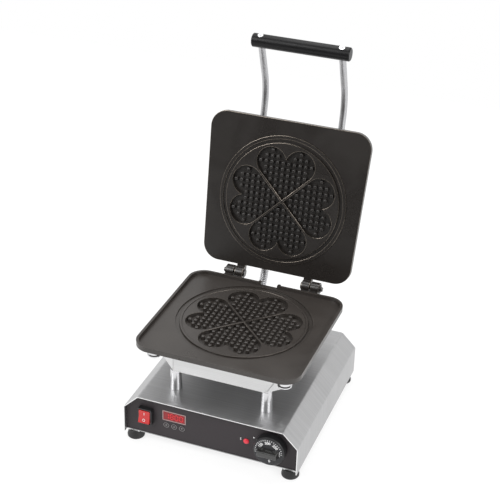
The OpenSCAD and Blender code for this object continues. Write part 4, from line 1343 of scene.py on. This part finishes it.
@dataclass
class WiringConduit:
    """Spiral-wound metal hose that carries the wires from the base to the lid.

    Attributes:
        radius: Outer radius of the hose.
        pitch: Distance between two windings.
        groove: Depth between two windings.
        sides: Sides of the hose.
        x: Its place across the appliance.
        base_end: Place of its lower end behind the base's front edge, and its height.
        lid_end: Place of its upper end along the lid, and behind the baking side.
        pulls: Lengths of the curve's handles at its lower and upper end.
        rings: Rings of vertices in one winding.
        samples: Steps in which the curve is measured.
    """

    radius: float = 0.0075
    pitch: float = 0.0034
    groove: float = 0.0009
    sides: int = 28
    x: float = -0.028
    base_end: tuple[float, float] = (0.305, 0.1032)
    lid_end: tuple[float, float] = (0.0212, 0.0355)
    pulls: tuple[float, float] = (0.0352, 0.0344)
    rings: int = 4
    samples: int = 400

    def lid_point(self, along: float, out: float) -> Vector:
        """Place of a point of the lid in the middle plane.

        Args:
            along: Distance from the hinge axis along the lid.
            out: Distance behind the baking side.

        Returns:
            The point.
        """
        point = LID_FRAME @ Vector((0.0, along, -out))
        return Vector((self.x, point.y, point.z))

    def route(self) -> list[Vector]:
        """Points along the hose's centre line, evenly spaced."""
        back, level = self.base_end
        along, out = self.lid_end
        start = Vector((self.x, back - ORIGIN_BACK, level))
        end = self.lid_point(along, out)
        start_pull = Vector((self.x, start.y, level + self.pulls[0]))
        end_pull = self.lid_point(along - self.pulls[1], out)
        fine = []
        for step in range(self.samples + 1):
            t = step / self.samples
            fine.append(
                (1 - t) ** 3 * start
                + 3 * t * (1 - t) ** 2 * start_pull
                + 3 * t * t * (1 - t) * end_pull
                + t**3 * end
            )
        length = sum((b - a).length for a, b in zip(fine, fine[1:]))
        windings = round(length / self.pitch)
        spans = windings * self.rings
        points, walked = [fine[0]], 0.0
        for a, b in zip(fine, fine[1:]):
            walked += (b - a).length
            if walked >= length / spans * len(points) and len(points) < spans:
                points.append(b)
        points.append(fine[-1])
        LOG.info("hose is %.1f mm long with %d windings", length * 1000, windings)
        return points

    def build(self) -> None:
        """Sweeps the wound profile along the route from base to lid."""
        points = self.route()
        shape = Shape("wound_hose")
        made = bmesh.ops.create_circle(
            shape.bm, cap_ends=False, radius=self.radius, segments=self.sides
        )
        loop = made["verts"]
        edges = list(shape.bm.edges)
        waist = (self.groove, 0.0003, 0.0, 0.0003)
        last = Matrix.Identity(4)
        for index, point in enumerate(points):
            ahead = points[min(index + 1, len(points) - 1)] - points[max(index - 1, 0)]
            turn = ahead.to_track_quat("Z", "X").to_matrix().to_4x4()
            scale = 1.0 - waist[index % self.rings] / self.radius
            now = Matrix.Translation(point) @ turn @ Matrix.Scale(scale, 4)
            if index:
                grown = bmesh.ops.extrude_edge_only(shape.bm, edges=edges)["geom"]
                loop = [g for g in grown if isinstance(g, bmesh.types.BMVert)]
                edges = [g for g in grown if isinstance(g, bmesh.types.BMEdge)]
                edges = [e for e in edges if all(v in loop for v in e.verts)]
            bmesh.ops.transform(shape.bm, matrix=now @ last.inverted(), verts=loop)
            last = now
        ends = [e for e in shape.bm.edges if e.is_boundary]
        bmesh.ops.holes_fill(shape.bm, edges=ends, sides=self.sides)
        bmesh.ops.recalc_face_normals(shape.bm, faces=shape.bm.faces)
        hose = shape.done(HOSE_METAL, "", "conduit_metal", ["conduit"], 60.0, True)
        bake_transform(hose)


# ---------- studio ----------


@dataclass
class Studio:
    """Camera, white surroundings and lamps.

    Attributes:
        camera_place: Where the camera stands.
        camera_aim: The point it looks at.
        camera_roll: Its turn about its own axis, in degrees.
        lens: Focal length in millimetres.
        sensor: Width of the camera's sensor in millimetres.
        floor_glow: Share of the floor's look that is plain white.
        lamp_aim: The point that the lamps face.
    """

    camera_place: Vector
    camera_aim: Vector
    camera_roll: float = 1.73
    lens: float = 90.94
    sensor: float = 36.0
    floor_glow: float = 0.72
    lamp_aim: tuple[float, float, float] = (0.0, 0.0, 0.25)

    def build(self) -> None:
        """Builds camera, floor, surroundings and lamps."""
        self.camera()
        self.floor()
        self.surroundings()
        self.lamp("key_lamp", (-1.4, -1.6, 1.9), 1.5, 40.0)
        self.lamp("side_lamp", (1.9, -0.9, 1.3), 1.3, 20.0)
        self.lamp("top_lamp", (0.1, 0.6, 2.2), 1.6, 24.0)

    def camera(self) -> None:
        """The camera at the appliance's viewing angle."""
        data = bpy.data.cameras.new("camera")
        data.lens = self.lens
        data.sensor_width = self.sensor
        data.clip_end = 50.0
        camera = in_scene("camera", data)
        forward = (self.camera_aim - self.camera_place).normalized()
        right = forward.cross(Vector((0.0, 0.0, 1.0))).normalized()
        up = right.cross(forward)
        roll = math.radians(self.camera_roll)
        right, up = (
            right * math.cos(roll) + up * math.sin(roll),
            up * math.cos(roll) - right * math.sin(roll),
        )
        turn = Matrix((right, up, -forward)).transposed().to_4x4()
        camera.matrix_world = Matrix.Translation(self.camera_place) @ turn
        bpy.context.scene.camera = camera

    def floor(self) -> None:
        """A pale floor that looks white and keeps a soft shadow."""
        mesh = bpy.data.meshes.new("floor")
        bm = bmesh.new()
        bmesh.ops.create_grid(bm, x_segments=1, y_segments=1, size=1.5)
        bm.to_mesh(mesh)
        bm.free()
        floor = in_scene("floor", mesh)
        paint = bpy.data.materials.new("floor_paint")
        wires = fresh_wiring(paint)
        ray = wires.add("ShaderNodeLightPath").outputs
        seen = wires.combine("MAXIMUM", ray["Is Camera Ray"], ray["Is Glossy Ray"])
        seen = wires.combine("MAXIMUM", seen, ray["Is Transmission Ray"])
        share = wires.combine("MULTIPLY", seen, self.floor_glow)
        matt = wires.add("ShaderNodeBsdfDiffuse", {"Color": (0.86, 0.86, 0.86, 1.0)})
        glow = wires.add("ShaderNodeEmission", {"Color": (1.0, 1.0, 1.0, 1.0), "Strength": 1.08})
        mix = wires.add(
            "ShaderNodeMixShader",
            {0: share, 1: matt.outputs["BSDF"], 2: glow.outputs["Emission"]},
        )
        wires.add("ShaderNodeOutputMaterial", {"Surface": mix.outputs["Shader"]})
        mesh.materials.append(paint)

    def surroundings(self) -> None:
        """White for the camera, and for the appliance bright sides and a darker front."""
        world = bpy.data.worlds.new("studio")
        bpy.context.scene.world = world
        wires = fresh_wiring(world)
        ray = wires.add("ShaderNodeLightPath").outputs
        heading = wires.add("ShaderNodeTexCoord").outputs["Generated"]
        split = wires.add("ShaderNodeSeparateXYZ", {"Vector": heading}).outputs
        height = wires.remap(split["Z"], (0.05, 0.8), (1.0, 0.6), eased=True)
        front = wires.remap(split["Y"], (-0.95, -0.45), (0.12, 1.0), eased=True)
        around = wires.combine("MULTIPLY", height, front)
        plain = wires.combine("MAXIMUM", around, ray["Is Camera Ray"])
        back = wires.add(
            "ShaderNodeBackground",
            {"Color": (1.0, 1.0, 1.0, 1.0), "Strength": plain},
        )
        wires.add("ShaderNodeOutputWorld", {"Surface": back.outputs["Background"]})

    def lamp(self, name: str, place: Sequence[float], size: float, power: float) -> None:
        """A square soft lamp aimed at the appliance.

        Args:
            name: The lamp's name.
            place: Where it stands.
            size: Its side.
            power: Its power in watts.
        """
        data = bpy.data.lights.new(name, "AREA")
        data.size = size
        data.energy = power
        lamp = in_scene(name, data)
        aim = Vector(self.lamp_aim) - Vector(place)
        turn = aim.to_track_quat("-Z", "Y").to_matrix().to_4x4()
        lamp.matrix_world = Matrix.Translation(place) @ turn


def main() -> None:
    """Builds every sub-assembly in order."""
    logging.basicConfig(level=logging.INFO, format="%(name)s: %(message)s")
    bpy.context.scene.view_settings.view_transform = "Standard"
    Studio(Vector((0.6252, -1.7592, 1.3344)), Vector((0.00846, -0.0582, 0.32607))).build()
    for finish, slot, nodes in NODE_FINISHES:
        for node in nodes:
            dress(node, finish)
    ControlBase().build()
    HeaterPlates().build()
    FrontControls().build()
    LidHandle().build()
    WiringConduit().build()


if __name__ == "__main__":
    main()
